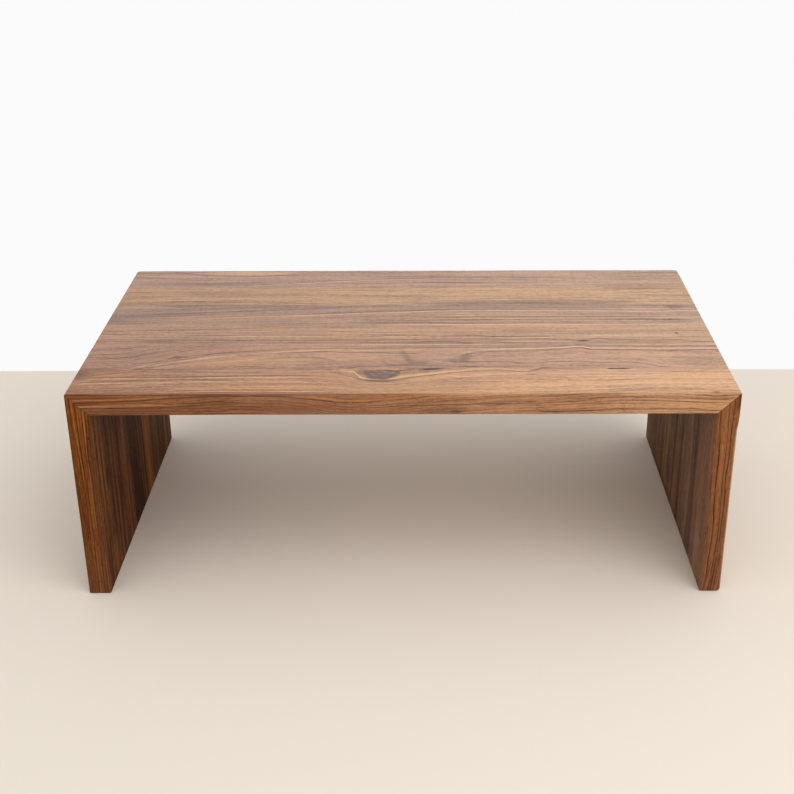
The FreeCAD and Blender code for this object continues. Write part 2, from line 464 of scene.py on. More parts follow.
class Tone(Enum):
    """The colour that a mark in the wood goes to, in the order in which marks are laid."""

    ROSE = (186, 146, 122)
    RED = (128, 66, 38)
    GOLD = (206, 150, 92)
    GREY = (108, 86, 80)
    LIGHT = (226, 184, 146)
    DARK = (72, 44, 32)
    UMBER = (70, 36, 18)
    PEAT = (42, 23, 12)
    BLACK = (34, 25, 24)

    def on(self, slab: Slab, face: Face) -> Colour:
        """Return the tone for one face: deeper and redder on the legs and in front, partly the wood's own
        colour and partly painted shade, and deepest on the left leg's inside, which is painted shade.

        Args:
            slab: the slab.
            face: the slab's face.

        Returns:
            The colour.
        """
        if slab is Slab.TOP:
            shares = (0.86, 0.75, 0.64) if face is Face.FRONT else (1.0, 1.0, 1.0)
        # Painted shade: the legs' insides are darker than their wood, the left one most.
        elif face is Face.INNER:
            shares = (0.74, 0.60, 0.44) if slab is Slab.LEFT_LEG else (0.74, 0.68, 0.60)
        else:
            shares = (0.80, 0.66, 0.52)
        red, green, blue = (part * share for part, share in zip(self.value, shares))
        return red, green, blue


@dataclass(frozen=True)
class Look:
    """How the wood of one slab looks, whichever strip it is."""

    deepest: Tone
    """What its dark grain goes to."""
    bands: float = 1.9
    """How many times over its broad bands show."""
    in_front: float = 0.66
    outside: float = 0.86
    inside: float = 1.45
    """How strongly the figure shows on its front edge, its outer face and its inner face."""
    greying: float = 1.0
    roughness: float = 0.58
    gloss: float = 0.03
    mitre: float = 0.15
    # How dark the line of its mitre is: on the right leg it is mostly painted shade, as that mitre stands a
    # hair open.
    """How dark the line of its mitre is: the right one stands a hair open."""


LOOKS = {
    Slab.TOP: Look(Tone.DARK, bands=1.0, in_front=0.55, outside=1.0, inside=1.0, roughness=0.46, gloss=0.22),
    Slab.LEFT_LEG: Look(Tone.PEAT, greying=0.2),
    Slab.RIGHT_LEG: Look(Tone.BLACK, mitre=0.85),
}


@dataclass(frozen=True)
class Cut:
    """One board's share of the wood, as its material sees it."""

    slab: Slab
    sizes: TableSizes
    flat: Spot
    """The place in the board's own frame."""
    bent: Spot
    """Where that place was before the wood was bent."""
    calm: Number
    """1 on the board's broad faces, and 0 on the table's front edge."""

    @property
    def look(self) -> Look:
        """Return how the wood of the slab looks."""
        return LOOKS[self.slab]

    def behind_front(self, none: float, full: float) -> Number:
        """Go from 0 to 1 between two distances behind the table's front edge."""
        return self.flat.across.rise(self.sizes.depth - none, self.sizes.depth - full)

    def on_face(self, face: Face) -> Number:
        """Return 1 on one face of the board, and 0 deeper in.

        Args:
            face: the face.

        Returns:
            A number from 0 to 1.
        """
        gone, whole = FACE_REACH[face]
        if face is Face.FRONT:
            return self.behind_front(gone, whole)
        if face is Face.OUTER:
            return self.flat.deep.rise(gone, whole)
        return self.flat.deep.rise(self.sizes.thick - gone, self.sizes.thick - whole)


@dataclass(frozen=True)
class Stroke:
    """One line of the figure, drawn along the grain.

    Each point holds the place along the grain, the place to the side (across, or deep on a front face)
    and how strongly the line shows there, from 0 to 1. A point without a strength is where it fades out.
    """

    tone: Tone
    width: float
    points: tuple[tuple[float, ...], ...]
    face: Face = Face.OUTER

    def mark(self, spot: Spot, sideways: Number, broken: Number) -> Number:
        """Work out how strongly the line shows.

        Args:
            spot: the place in the wood.
            sideways: where that place lies to the side.
            broken: streaks that break the line up.

        Returns:
            A number from 0 to 1.
        """
        course = spot.along.path(tuple((along, side) for along, side, *_ in self.points))
        weight = spot.along.path(tuple((along, sum(strength)) for along, _, *strength in self.points))
        return (sideways - course).near(self.width) * weight * broken

    def reaches(self, low: float, high: float) -> bool:
        """Tell whether any of the line lies between two places along the grain."""
        return self.points[0][0] < high and self.points[-1][0] > low


@dataclass(frozen=True)
class Smudge:
    """A soft oval patch in the wood."""

    tone: Tone
    along: float
    side: float
    half_length: float
    half_width: float
    strength: float
    lean: float = 0.0
    face: Face = Face.OUTER

    def mark(self, spot: Spot, sideways: Number, broken: Number) -> Number:
        """Work out how strongly the patch shows.

        Args:
            spot: the place in the wood.
            sideways: where that place lies to the side.
            broken: streaks that break the patch up.

        Returns:
            A number from 0 to 1.
        """
        run = spot.along - self.along
        rise = (sideways - self.side).plus(run, -self.lean) * (1 / self.half_width)
        reach = (run * (1 / self.half_length)).squared() + rise.squared()
        return reach.rise(1.0, 0.0, 0.0, self.strength) * broken

    def reaches(self, low: float, high: float) -> bool:
        """Tell whether any of the patch lies between two places along the grain."""
        return self.along - self.half_length < high and self.along + self.half_length > low


@dataclass(frozen=True)
class Knot:
    """A knot with its rings, cut through by a board's outer face."""

    along: float
    side: float
    half_length: float
    half_width: float
    rings: float
    cut: float
    """The glue line or seam that the knot stops at, behind it."""
    bow: float
    """How far that line bows forward at the knot's ends."""
    soft: float = 1.2
    heart: Colour = (119, 96, 88)
    pale_ring: Colour = (158, 126, 106)
    dark_ring: Colour = (74, 56, 52)
    pale_layer: Colour = (152, 122, 106)
    dark_layer: Colour = (66, 50, 48)
    skin: Colour = (116, 84, 66)

    def reaches(self, low: float, high: float) -> bool:
        """Tell whether the knot lies between two places along the grain."""
        return low < self.along < high

    def lay(self, tint: Tint, spot: Spot) -> Tint:
        """Lay the knot on the board's colour.

        Args:
            tint: the colour so far.
            spot: the place in the wood.

        Returns:
            The colour with the knot.
        """
        run = ((spot.along - self.along) * (1 / self.half_length)).squared()
        rise = ((spot.across - self.side) * (1 / self.half_width)).squared()
        uneven = spot.grain(Layer.KNOT_SKIN) - 0.5
        radius = (run + rise).root().plus(uneven, 0.3)
        shown = spot.across.plus(run, -self.bow).rise(self.cut - self.soft, self.cut + self.soft)
        inside = radius.rise(1.1, 0.9) * shown
        ring = (radius * (self.rings * 2 * math.pi)).wave()
        layer = spot.streak(Layer.KNOT_LAYERS)
        tint = tint.toward(self.heart, inside * 0.9)
        tint = tint.toward(self.pale_ring, ring.rise(0.1, 1.0, 0.0, 0.25) * inside)
        tint = tint.toward(self.dark_ring, ring.rise(-0.1, -1.0, 0.0, 0.3) * inside)
        tint = tint.toward(self.pale_layer, layer.ramp(0.0, 1.0, 0.0, 0.5) * inside)
        tint = tint.toward(self.dark_layer, layer.ramp(0.0, -1.0, 0.0, 0.6) * inside)
        return tint.toward(self.skin, (radius - 1.0).near(0.13) * shown * 0.6)


@dataclass(frozen=True)
class Figure:
    """How strongly the plain figure of a board shows."""

    bands: float = 0.36
    streaks: float = 0.66
    fibres: float = 0.52
    rings: float = 0.55
    ring_gap: float = 13.0
    ring_rise: float = 9.0
    ring_drift: float = 0.9
    edge_rings: float = 0.45
    """How much more the rings show on the front edge."""
    pores: float = 0.42
    curl: float = 0.10
    patches: float = 0.25
    gold_share: float = 0.7
    """How strong the gold patches are beside the grey ones."""
    veins: float = 0.40
    flecks: float = 0.30
    lines: float = 0.38
    darkening: float = 0.62
    lightening: float = 0.40
    """How far the grain takes the colour to its dark and its light tone."""

    @property
    def middle(self) -> float:
        """Return what the rings and lines, which only darken, add on average."""
        return self.rings * 0.2 + self.lines * 0.12


@dataclass(frozen=True)
class JointLines:
    """How wide, in millimetres, and how dark the lines are where boards meet, and the painted shade along the
    rims where the top ends and at its rear.
    """

    glue: float = 0.5
    glue_dark: float = 0.5
    mitre: float = 2.0
    rim_ends: float = 3.0
    rim_rear: float = 3.2
    rim_deep: float = 6.0
    painted_rim_shade: float = 0.42


@dataclass(frozen=True)
class Walnut:
    """The wood of one glued-up strip: its colours, its grain and the marks that it shows."""

    strip: int
    # The top's plain colour at its left and right end: the right is lighter, partly the wood and partly
    # painted light.
    left: Colour
    right: Colour
    # The plain colour of each leg's inside, darkened as painted shade, the left leg's most.
    left_leg: Colour
    right_leg: Colour
    edge: tuple[tuple[float, Colour], ...] = ()
    # The plain colour of its front edge at places along the grain, from the left foot to the right one;
    # darker to the left and on the legs, partly the wood and partly painted shade.
    """The plain colour of its front edge at places along the grain, from the left foot to the right one."""
    rear_edge: Colour | None = None
    """The plain colour of its rear edge, all the way round."""
    rear_course: Course = ((-950.0, 0.0), (950.0, 0.0))
    front_course: Course = ((-950.0, 0.0), (950.0, 0.0))
    deep_course: Course = ((-950.0, 0.0), (950.0, 0.0))
    """How far the grain sinks below the outer face along the front edge."""
    wander: float = 3.0
    """How far the grain strays from those courses."""
    figure: Figure = Figure()
    joints: JointLines = JointLines()
    marks: tuple[Smudge | Stroke, ...] = ()
    knots: tuple[Knot, ...] = ()

    @property
    def seed(self) -> float:
        """Return what keeps the strip's streaks unlike those of the others."""
        return 7.3 * self.strip

    def dress(self, slab: Slab, sizes: TableSizes) -> Material:
        """Make the material of one board of the strip.

        Args:
            slab: the slab that the board belongs to.
            sizes: the table's sizes.

        Returns:
            The material, with the grain, the marks, the pores and the sheen of oiled walnut.
        """
        material, tree, shader = start_finish(f"oiled_walnut_{slab.value}_{self.strip}")
        cut = self._cut(tree, slab, sizes)
        fibres = cut.bent.streak(Layer.FIBRES, self.seed)
        pores = cut.bent.grain(Layer.PORES, self.seed).rise(0.40, 0.26)
        shade = self._shade(cut, fibres)
        dark, light = (self._tone(tone, cut) for tone in (cut.look.deepest, Tone.LIGHT))
        tint = self._patches(self._plain(cut), cut)
        tint = tint.toward(dark, shade.ramp(0.0, 1.0, 0.0, self.figure.darkening))
        tint = tint.toward(light, shade.ramp(0.0, -1.0, 0.0, self.figure.lightening))
        tint = self._mark(tint, cut).toward(dark, pores * self.figure.pores)
        tree.links.new(self._draw_joints(tint, cut).source, shader.inputs["Base Color"])
        roughness = (fibres * 0.04).plus(pores, 0.2) + cut.look.roughness
        tree.links.new(roughness.socket, shader.inputs["Roughness"])
        shader.inputs["IOR"].default_value = 1.5
        shader.inputs["Specular IOR Level"].default_value = cut.look.gloss
        add_relief(shader, (fibres * -0.15).plus(pores, -1.0), strength=0.35, distance=0.15)
        return material

    def _cut(self, tree: Tree, slab: Slab, sizes: TableSizes) -> Cut:
        """Find a point's place in the board, and bend the straight grain there to the strip's courses.

        Args:
            tree: the material's node tree.
            slab: the slab that the board belongs to.
            sizes: the table's sizes.

        Returns:
            The board's share of the wood.
        """
        x, y, z = read_place(tree)
        across = y.line(-1 / MM, sizes.depth / 2)
        if slab is Slab.TOP:
            flat = Spot(x * (1 / MM), across, z.line(-1 / MM, sizes.height))
        else:
            along = z.line(-slab.side / MM, slab.side * (sizes.half_length + sizes.height))
            flat = Spot(along, across, x.line(-slab.side / MM, sizes.half_length))
        calm = across.rise(sizes.depth - 2.0, sizes.depth - 10.0)
        rear, front = sizes.board_span(self.strip)
        share = across.line(1 / (front - rear), -rear / (front - rear))
        behind = flat.along.path(self.rear_course)
        stray = behind + (flat.along.path(self.front_course) - behind) * share
        strayed = (across - stray).plus(flat.streak(Layer.WANDER, self.seed), self.wander)
        sunk = flat.along.path(self.deep_course) * calm.line(-1.0, 1.0)
        return Cut(slab, sizes, flat, Spot(flat.along, strayed, flat.deep - sunk), calm)

    def _shade(self, cut: Cut, fibres: Number) -> Number:
        """Add up the layers of the grain. The years' rings darken slowly and end sharply.

        Args:
            cut: the board's share of the wood.
            fibres: the finest layer.

        Returns:
            A number above 0 where the wood is darker than its plain colour, and below 0 where it is lighter.
        """
        figure, look, flat, bent, seed = self.figure, cut.look, cut.flat, cut.bent, self.seed
        turn = (bent.across * (1 / figure.ring_gap)).plus(bent.deep, 1 / figure.ring_rise)
        year = turn.plus(bent.streak(Layer.RING_DRIFT, seed), figure.ring_drift).fraction()
        strong = flat.streak(Layer.RING_STRENGTH, seed).ramp(-0.5, 0.6, 0.15, 1.0)
        rings = year.rise(0.3, 0.92) * year.rise(1.0, 0.93) * strong
        gaps = bent.streak(Layer.LINE_GAPS, seed).ramp(-0.6, 0.5)
        lines = bent.streak(Layer.LINES, seed).near(0.22) * gaps
        shade = bent.streak(Layer.BANDS, seed) * (figure.bands * look.bands)
        shade = shade.plus(bent.streak(Layer.STREAKS, seed), figure.streaks).plus(fibres, figure.fibres)
        shade = shade.plus(rings, figure.rings).plus(flat.streak(Layer.CURL, seed), figure.curl)
        shade = shade.plus(bent.streak(Layer.FLECKS, seed), figure.flecks)
        shade = shade.plus(lines, figure.lines) - figure.middle
        strength = cut.calm.line(look.outside - look.in_front, look.in_front)
        if look.inside != look.outside:
            strength = strength.plus(cut.calm * cut.on_face(Face.INNER), look.inside - look.outside)
        shade = shade * strength
        if self.edge:
            shade = shade.plus(rings * cut.calm.line(-1.0, 1.0), figure.edge_rings)
        return shade

    def _plain(self, cut: Cut) -> Tint:
        """Mix the plain colour of the wood, before any grain.

        Args:
            cut: the board's share of the wood.

        Returns:
            The colour: lighter to the right on the top, partly the wood and partly painted light; on a leg
                darker downwards, and darker inwards as painted shade.
        """
        flat, sizes = cut.flat, cut.sizes
        tree = flat.along.tree
        if cut.slab is Slab.TOP:
            # Partly painted light: the top grows lighter towards its right end.
            over = flat.along.rise(-sizes.half_length, sizes.half_length)
            tint = Tint(tree, self.left).toward(self.right, over)
        else:
            is_left = cut.slab is Slab.LEFT_LEG
            outer, inner = (self.left, self.left_leg) if is_left else (self.right, self.right_leg)
            # Darker down the leg; its inside takes the inner colour, which carries painted shade.
            down = flat.along.size().rise(sizes.half_length, sizes.half_length + sizes.height, 0.0, 0.45)
            tint = Tint(tree, outer).toward(inner, down).toward(inner, flat.deep.rise(0.0, 9.0))
        if self.rear_edge:
            tint = tint.toward(self.rear_edge, flat.across.rise(2.6, 0.4) * flat.deep.rise(0.6, 3.0))
        if not self.edge:
            return tint
        low, high = sizes.slab_span(cut.slab)
        stops = [stop for stop in self.edge if low - 1 < stop[0] < high + 1]
        front = Tint(tree, stops[0][1])
        for (before, _), (after, colour) in zip(stops, stops[1:]):
            front = front.toward(colour, flat.along.rise(before, after))
        return tint.toward(front, cut.behind_front(4.0, 0.6))

    def _tone(self, tone: Tone, cut: Cut) -> Tint:
        """Match a tone to the board's faces.

        Args:
            tone: the tone.
            cut: the board's share of the wood.

        Returns:
            The tone, which goes over to its look on the front edge there.
        """
        plain = tone.on(cut.slab, Face.OUTER if cut.slab is Slab.TOP else Face.INNER)
        if not self.edge:
            return Tint(cut.calm.tree, plain)
        return Tint(cut.calm.tree, tone.on(cut.slab, Face.FRONT)).toward(plain, cut.calm)

    def _patches(self, tint: Tint, cut: Cut) -> Tint:
        """Lay the broad grey and gold patches and the grey veins on the plain colour.

        Args:
            tint: the plain colour.
            cut: the board's share of the wood.

        Returns:
            The colour with the patches.
        """
        figure, greying = self.figure, cut.look.greying
        grey, gold = (self._tone(tone, cut) for tone in (Tone.GREY, Tone.GOLD))
        patches = cut.flat.streak(Layer.PATCHES, self.seed)
        veins = cut.bent.streak(Layer.VEINS, self.seed).ramp(0.1, 1.0, 0.0, figure.veins * greying)
        tint = tint.toward(grey, patches.ramp(0.0, 1.0, 0.0, figure.patches * greying))
        tint = tint.toward(gold, patches.ramp(0.0, -1.0, 0.0, figure.patches * figure.gold_share))
        return tint.toward(grey, veins * (cut.calm * 0.6 + 0.4))

    def _mark(self, tint: Tint, cut: Cut) -> Tint:
        """Lay the listed strokes, smudges and knots of one slab on its colour.

        Args:
            tint: the colour so far.
            cut: the board's share of the wood.

        Returns:
            The colour with the marks.
        """
        low, high = cut.sizes.slab_span(cut.slab)
        broken = cut.bent.grain(Layer.BREAKS, self.seed).rise(0.28, 0.55, 0.45, 1.0)
        for face in Face:
            sideways = cut.flat.deep if face is Face.FRONT else cut.flat.across
            for tone in Tone:
                for knot in self.knots:
                    if face is Face.OUTER and tone is Tone.LIGHT and knot.reaches(low, high):
                        tint = knot.lay(tint, cut.flat)
                marks = [mark.mark(cut.flat, sideways, broken) for mark in self.marks
                         if mark.tone is tone and mark.face is face and mark.reaches(low, high)]
                if not marks:
                    continue
                total = marks[0]
                for mark in marks[1:]:
                    total = total.larger(mark)
                tint = tint.toward(tone.on(cut.slab, face), total * cut.on_face(face))
        return tint

    def _draw_joints(self, tint: Tint, cut: Cut) -> Tint:
        """Draw the lines where the board meets others, and paint shade along the rounded rims of the top's
        ends and rear.

        Args:
            tint: the colour so far.
            cut: the board's share of the wood.

        Returns:
            The colour with the lines.
        """
        flat, sizes, joints = cut.flat, cut.sizes, self.joints
        for seam in sizes.board_span(self.strip):
            if NO_GAP < seam < sizes.depth - NO_GAP:
                line = (flat.across - seam).near(joints.glue)
                tint = tint.toward(Tone.DARK.value, line * joints.glue_dark)
        over = (flat.along.size() - sizes.half_length) * (1.0 if cut.slab is Slab.TOP else -1.0)
        # The mitre's dark line; on the right leg it is deepened as painted shade in the hair-open joint.
        tint = tint.toward(Tone.UMBER.value, (over + flat.deep).near(joints.mitre) * cut.look.mitre)
        if cut.slab is Slab.TOP:
            # Painted shade on the top's rims at both ends and at the rear, near its upper face.
            rim = over.near(joints.rim_ends).larger(flat.across.near(joints.rim_rear))
            tint = tint.toward(Tone.DARK.value, rim * flat.deep.near(joints.rim_deep) * joints.painted_rim_shade)
        return tint


# The marks that the photograph shows, strip by strip

ROSE, RED, GOLD, GREY, LIGHT, DARK, UMBER, PEAT, BLACK = Tone
OUTER, FRONT, INNER = Face

EDGE_STROKES = (
    Stroke(UMBER, 1.6, ((-558, 1.2, 0.8), (-400, 1.2, 0.8), (-150, 1.2, 0.5), (0, 1, 0.3), (80, 1)), FRONT),
    Stroke(UMBER, 1.9, ((-556, 7, 0.7), (-548, 7, 0.9), (-520, 6.5, 0.9), (-500, 6.3, 0.7), (-470, 5, 0.5),
        (-440, 3)), FRONT),
    Stroke(LIGHT, 1.8, ((-550, 11, 0.35), (-500, 10, 0.3), (-460, 9, 0.3), (-430, 7, 0.3), (-400, 5)), FRONT),
    Stroke(UMBER, 2.2, ((-544, 15.5, 0.9), (-515, 14.5, 0.9), (-500, 14, 0.7), (-475, 13, 0.5),
        (-450, 12, 0.6), (-425, 10.5, 0.8), (-400, 8.5, 0.7), (-375, 7, 0.7), (-350, 5, 0.7),
        (-300, 3.5, 0.9), (-250, 3.2, 0.9), (-200, 4, 0.7), (-180, 6, 0.7), (-150, 9.5, 0.8), (-137, 11, 1),
        (-120, 13.5, 0.8), (-100, 15.5, 0.6), (-75, 15.5, 0.6), (-50, 13.5, 0.6), (-25, 11.5, 0.6),
        (0, 9.5, 0.5), (25, 6.5, 0.6), (40, 4, 0.5), (60, 1)), FRONT),
    Stroke(UMBER, 1.5, ((-540, 19.5, 0.8), (-520, 18.5, 0.7), (-495, 18)), FRONT),
    Stroke(LIGHT, 2.2, ((-538, 22, 0.5), (-480, 21, 0.4), (-400, 19.5, 0.35), (-350, 19)), FRONT),
    Stroke(UMBER, 1.4, ((-435, 15), (-425, 15.5, 0.8), (-410, 16, 0.7), (-390, 17.5, 0.8),
        (-375, 18)), FRONT),
    Stroke(UMBER, 1.4, ((-380, 16.5), (-365, 16, 0.7), (-330, 15, 0.8), (-305, 13, 0.8), (-290, 14.5, 0.6),
        (-255, 15.5)), FRONT),
    Stroke(UMBER, 1.5, ((-385, 21), (-375, 21, 0.6), (-350, 20.5, 0.8), (-335, 20, 0.6), (-325, 20)), FRONT),
    Stroke(UMBER, 2, ((-534, 25.5, 0.9), (-500, 25, 1), (-450, 24.5, 0.8), (-400, 24, 0.7), (-350, 25, 0.7),
        (-320, 25, 0.6), (-300, 24, 0.5), (-275, 22.5, 0.6), (-250, 23, 0.4), (-220, 24)), FRONT),
    Stroke(UMBER, 1.7, ((-530, 31, 0.7), (-480, 30, 0.5), (-400, 30.5, 0.5), (-320, 31, 0.6),
        (-290, 28, 0.7), (-270, 27, 0.7), (-240, 29, 0.5), (-210, 30)), FRONT),
    Stroke(UMBER, 1.7, ((-525, 35.5, 0.8), (-450, 35, 0.6), (-380, 35.5, 0.6), (-300, 34.5, 0.8),
        (-250, 34.5, 0.6), (-220, 35)), FRONT),
    Stroke(GOLD, 2, ((-165, 5), (-150, 6.5, 0.6), (-125, 9, 0.8), (-100, 12, 0.8), (-75, 12, 0.8),
        (-50, 10, 0.8), (-25, 8, 0.8), (0, 5.5, 0.9), (15, 3, 0.8), (30, 1)), FRONT),
    Stroke(UMBER, 1.4, ((-165, 1), (-140, 2.5, 0.5), (-120, 5, 0.6), (-105, 7.5, 0.7), (-90, 9, 0.7),
        (-60, 9, 0.5), (-25, 6.5, 0.5), (0, 4, 0.5), (20, 2.5, 0.4), (35, 1)), FRONT),
    Stroke(UMBER, 1.2, ((-150, 18), (-130, 21, 0.35), (-110, 22.5, 0.4), (-85, 23, 0.4), (-60, 21.5, 0.4),
        (-25, 19.5, 0.5), (0, 17.5, 0.6), (25, 15.5, 0.7), (50, 14, 0.7), (75, 12, 0.8), (90, 11, 0.8),
        (110, 10.5, 0.8), (130, 8.5, 0.8), (150, 7, 0.7), (175, 5.5, 0.7), (200, 4, 0.7), (225, 3, 0.7),
        (250, 2.5, 0.7), (275, 2, 0.6), (300, 1)), FRONT),
    Stroke(UMBER, 1.4, ((-60, 25), (-20, 23, 0.4), (0, 22, 0.5), (25, 21, 0.7), (50, 20.5, 0.8),
        (75, 20, 0.9), (100, 19.5, 0.9), (120, 18, 0.8), (140, 16, 0.8), (155, 14.5, 0.7), (175, 13.5, 0.8),
        (200, 13.5, 0.8), (220, 13.2, 0.7), (250, 12, 0.7), (275, 9.5, 0.7), (300, 8.5, 0.7),
        (325, 7.5, 0.7), (350, 6.8, 0.8), (375, 6.2, 0.9), (395, 7.5, 0.9), (425, 8, 0.7), (450, 9, 0.7),
        (475, 10, 0.7), (500, 11, 0.7), (520, 12, 0.7), (545, 10.5, 0.4)), FRONT),
    Stroke(UMBER, 1.4, ((150, 19), (180, 18.5, 0.7), (225, 17.5, 0.6), (260, 15.5, 0.5), (310, 12.5, 0.5),
        (330, 11)), FRONT),
    Stroke(UMBER, 1.4, ((340, 12.5), (360, 12, 0.6), (390, 12, 0.7), (425, 13.5, 0.6), (450, 14.5, 0.6),
        (475, 15.5, 0.7), (500, 16.5, 0.7), (530, 18, 0.4)), FRONT),
    Stroke(UMBER, 1.3, ((190, 22), (230, 21, 0.5), (300, 18.5, 0.5), (380, 18, 0.4), (440, 19)), FRONT),
    Stroke(UMBER, 1.9, ((180, 31), (200, 31, 0.5), (225, 32, 0.8), (250, 33, 1), (275, 32.5, 1),
        (300, 31, 1), (325, 30.5, 0.9), (340, 29.5, 0.8), (360, 28.5, 0.9), (400, 28.5, 0.7), (425, 28, 0.8),
        (450, 28.5, 0.7), (475, 28, 0.7), (495, 30, 0.6), (510, 31.5, 0.7), (530, 32, 0.5)), FRONT),
    Stroke(LIGHT, 2.9, ((240, 25), (280, 24, 0.5), (340, 22.5, 0.6), (420, 22, 0.7), (480, 23, 0.7),
        (530, 25, 0.5)), FRONT),
    Stroke(UMBER, 1.1, ((490, 1.5), (495, 2, 0.5), (505, 4.5, 0.8), (515, 6, 0.8), (530, 4.5, 0.7),
        (548, 2.5, 0.4)), FRONT),
    # The left leg's front, from the mitre down
    Stroke(UMBER, 1.7, ((-946, 18.3, 0.8), (-909, 18.6, 0.8), (-884, 19, 0.8), (-859, 19.3, 0.8),
        (-834, 20, 0.8), (-809, 20.3, 0.8), (-784, 20.3, 0.8), (-759, 20, 0.8), (-734, 20, 0.9),
        (-709, 19, 0.9), (-684, 18, 1), (-659, 17.2, 0.9), (-634, 16.4, 0.9), (-609, 15.7, 1),
        (-574, 15.5, 1)), FRONT),
    Stroke(UMBER, 1.9, ((-946, 12.5, 0.5), (-909, 14, 0.6), (-884, 14.5, 0.6), (-859, 13.5, 0.6),
        (-834, 14, 0.6), (-809, 15, 0.7), (-784, 15.5, 0.7), (-734, 15, 0.6), (-709, 13.5, 0.5),
        (-684, 12.5, 0.5), (-640, 9.5, 0.6), (-609, 7.4, 0.7), (-566, 7, 0.9)), FRONT),
    Stroke(LIGHT, 1.2, ((-760, 17.5), (-709, 16, 0.25), (-640, 12.4, 0.35), (-609, 11.2, 0.4),
        (-571, 11, 0.4)), FRONT),
    Stroke(UMBER, 1.4, ((-700, 25.5), (-659, 24.5, 0.5), (-634, 24.9, 0.6), (-609, 25.4, 0.7),
        (-584, 25.5, 0.8)), FRONT),
    Stroke(UMBER, 2, ((-946, 28, 0.6), (-909, 28.5, 0.6), (-859, 29.5, 0.6), (-809, 30.5, 0.6),
        (-759, 30, 0.6), (-734, 30.5, 0.7), (-709, 30, 0.6), (-679, 28, 0.9), (-644, 29, 0.9),
        (-625, 30.6, 0.9), (-609, 31, 0.9), (-589, 31, 0.9)), FRONT),
    Stroke(UMBER, 1.5, ((-810, 3.5), (-784, 7, 0.5), (-759, 6.5, 0.6), (-734, 5, 0.6), (-709, 3, 0.4),
        (-690, 2)), FRONT),
    Stroke(UMBER, 2.2, ((-946, 34.5, 0.5), (-800, 35, 0.4), (-700, 34.5, 0.5), (-630, 35, 0.7),
        (-594, 35.8, 0.8)), FRONT),
    Stroke(LIGHT, 2, ((-800, 27), (-700, 26.8, 0.3), (-620, 27.9, 0.5), (-585, 28.2, 0.5)), FRONT),
    Stroke(UMBER, 2, ((-946, 1, 0.5), (-760, 1, 0.5), (-640, 1, 0.6), (-560, 1, 0.8)), FRONT),
    # The right leg's front
    Stroke(UMBER, 1.7, ((571, 10.5, 0.5), (609, 11, 0.6), (634, 11.5, 0.9), (659, 10.5, 0.8), (684, 11, 0.8),
        (699, 11.5, 0.9), (714, 13, 0.9), (734, 12.5, 0.9), (759, 10.8, 0.9), (784, 11, 0.7),
        (809, 11.5, 0.8), (834, 12, 0.8), (859, 12.5, 0.8), (884, 14, 0.8), (909, 16, 0.9), (929, 18, 0.9),
        (946, 19.5, 0.8)), FRONT),
    Stroke(UMBER, 1.5, ((584, 18, 0.6), (609, 17.8, 0.7), (634, 17, 0.7), (684, 17, 0.7), (709, 17.5, 0.7),
        (759, 16.8, 0.6), (809, 16, 0.6), (834, 16.5, 0.7), (859, 17.5, 0.8), (884, 19, 0.8),
        (909, 20.5, 0.9), (929, 22, 0.9), (946, 24, 0.8)), FRONT),
    Stroke(UMBER, 2, ((594, 32, 0.5), (609, 32, 0.6), (634, 30, 0.5), (659, 29, 0.9), (684, 28, 1),
        (709, 28.5, 0.9), (734, 28.5, 0.8), (759, 28, 0.9), (784, 27, 1), (809, 25.5, 1), (834, 25.5, 0.8),
        (859, 26.5, 0.8), (884, 28, 1), (909, 28.5, 1), (924, 30, 1), (946, 33, 0.8)), FRONT),
    Stroke(UMBER, 1.3, ((840, 7), (859, 8, 0.5), (884, 10, 0.7), (909, 11.5, 0.7), (934, 13, 0.7),
        (946, 15, 0.6)), FRONT),
    Stroke(UMBER, 1.2, ((890, 2), (909, 3, 0.5), (924, 5, 0.7), (946, 6, 0.6)), FRONT),
    Stroke(GOLD, 2.7, ((600, 23), (640, 22.5, 0.45), (720, 22.5, 0.5), (800, 21.5, 0.4), (860, 22, 0.3),
        (900, 24)), FRONT),
    Stroke(GREY, 2.7, ((750, 34), (790, 33, 0.5), (850, 33, 0.6), (946, 36, 0.6)), FRONT),
    Stroke(UMBER, 2, ((564, 3, 0.6), (600, 2.5, 0.5), (616, 6, 0.3), (640, 6)), FRONT),
)
EDGE_SMUDGES = (
    Smudge(RED, -430, 30, 160, 9, 0.45, face=FRONT),
    Smudge(GREY, -430, 31, 130, 6, 0.35, face=FRONT),
    Smudge(RED, -520, 12, 120, 14, 0.4, face=FRONT),
    Smudge(DARK, 88, 33, 13, 5, 0.45, face=FRONT),
    Smudge(GREY, 68, 30, 45, 9, 0.6, face=FRONT),
    Smudge(GREY, 150, 19, 34, 5, 0.6, face=FRONT),
    Smudge(RED, -200, 24, 130, 14, 0.4, face=FRONT),
    Smudge(GREY, -760, 34, 210, 7, 0.45, face=FRONT),
    Smudge(DARK, -639, 32, 4, 3, 1, face=FRONT),
    Smudge(LIGHT, 600, 3, 18, 4, 0.45, face=FRONT),
    Smudge(RED, -300, 604, 260, 6, 0.5),
)

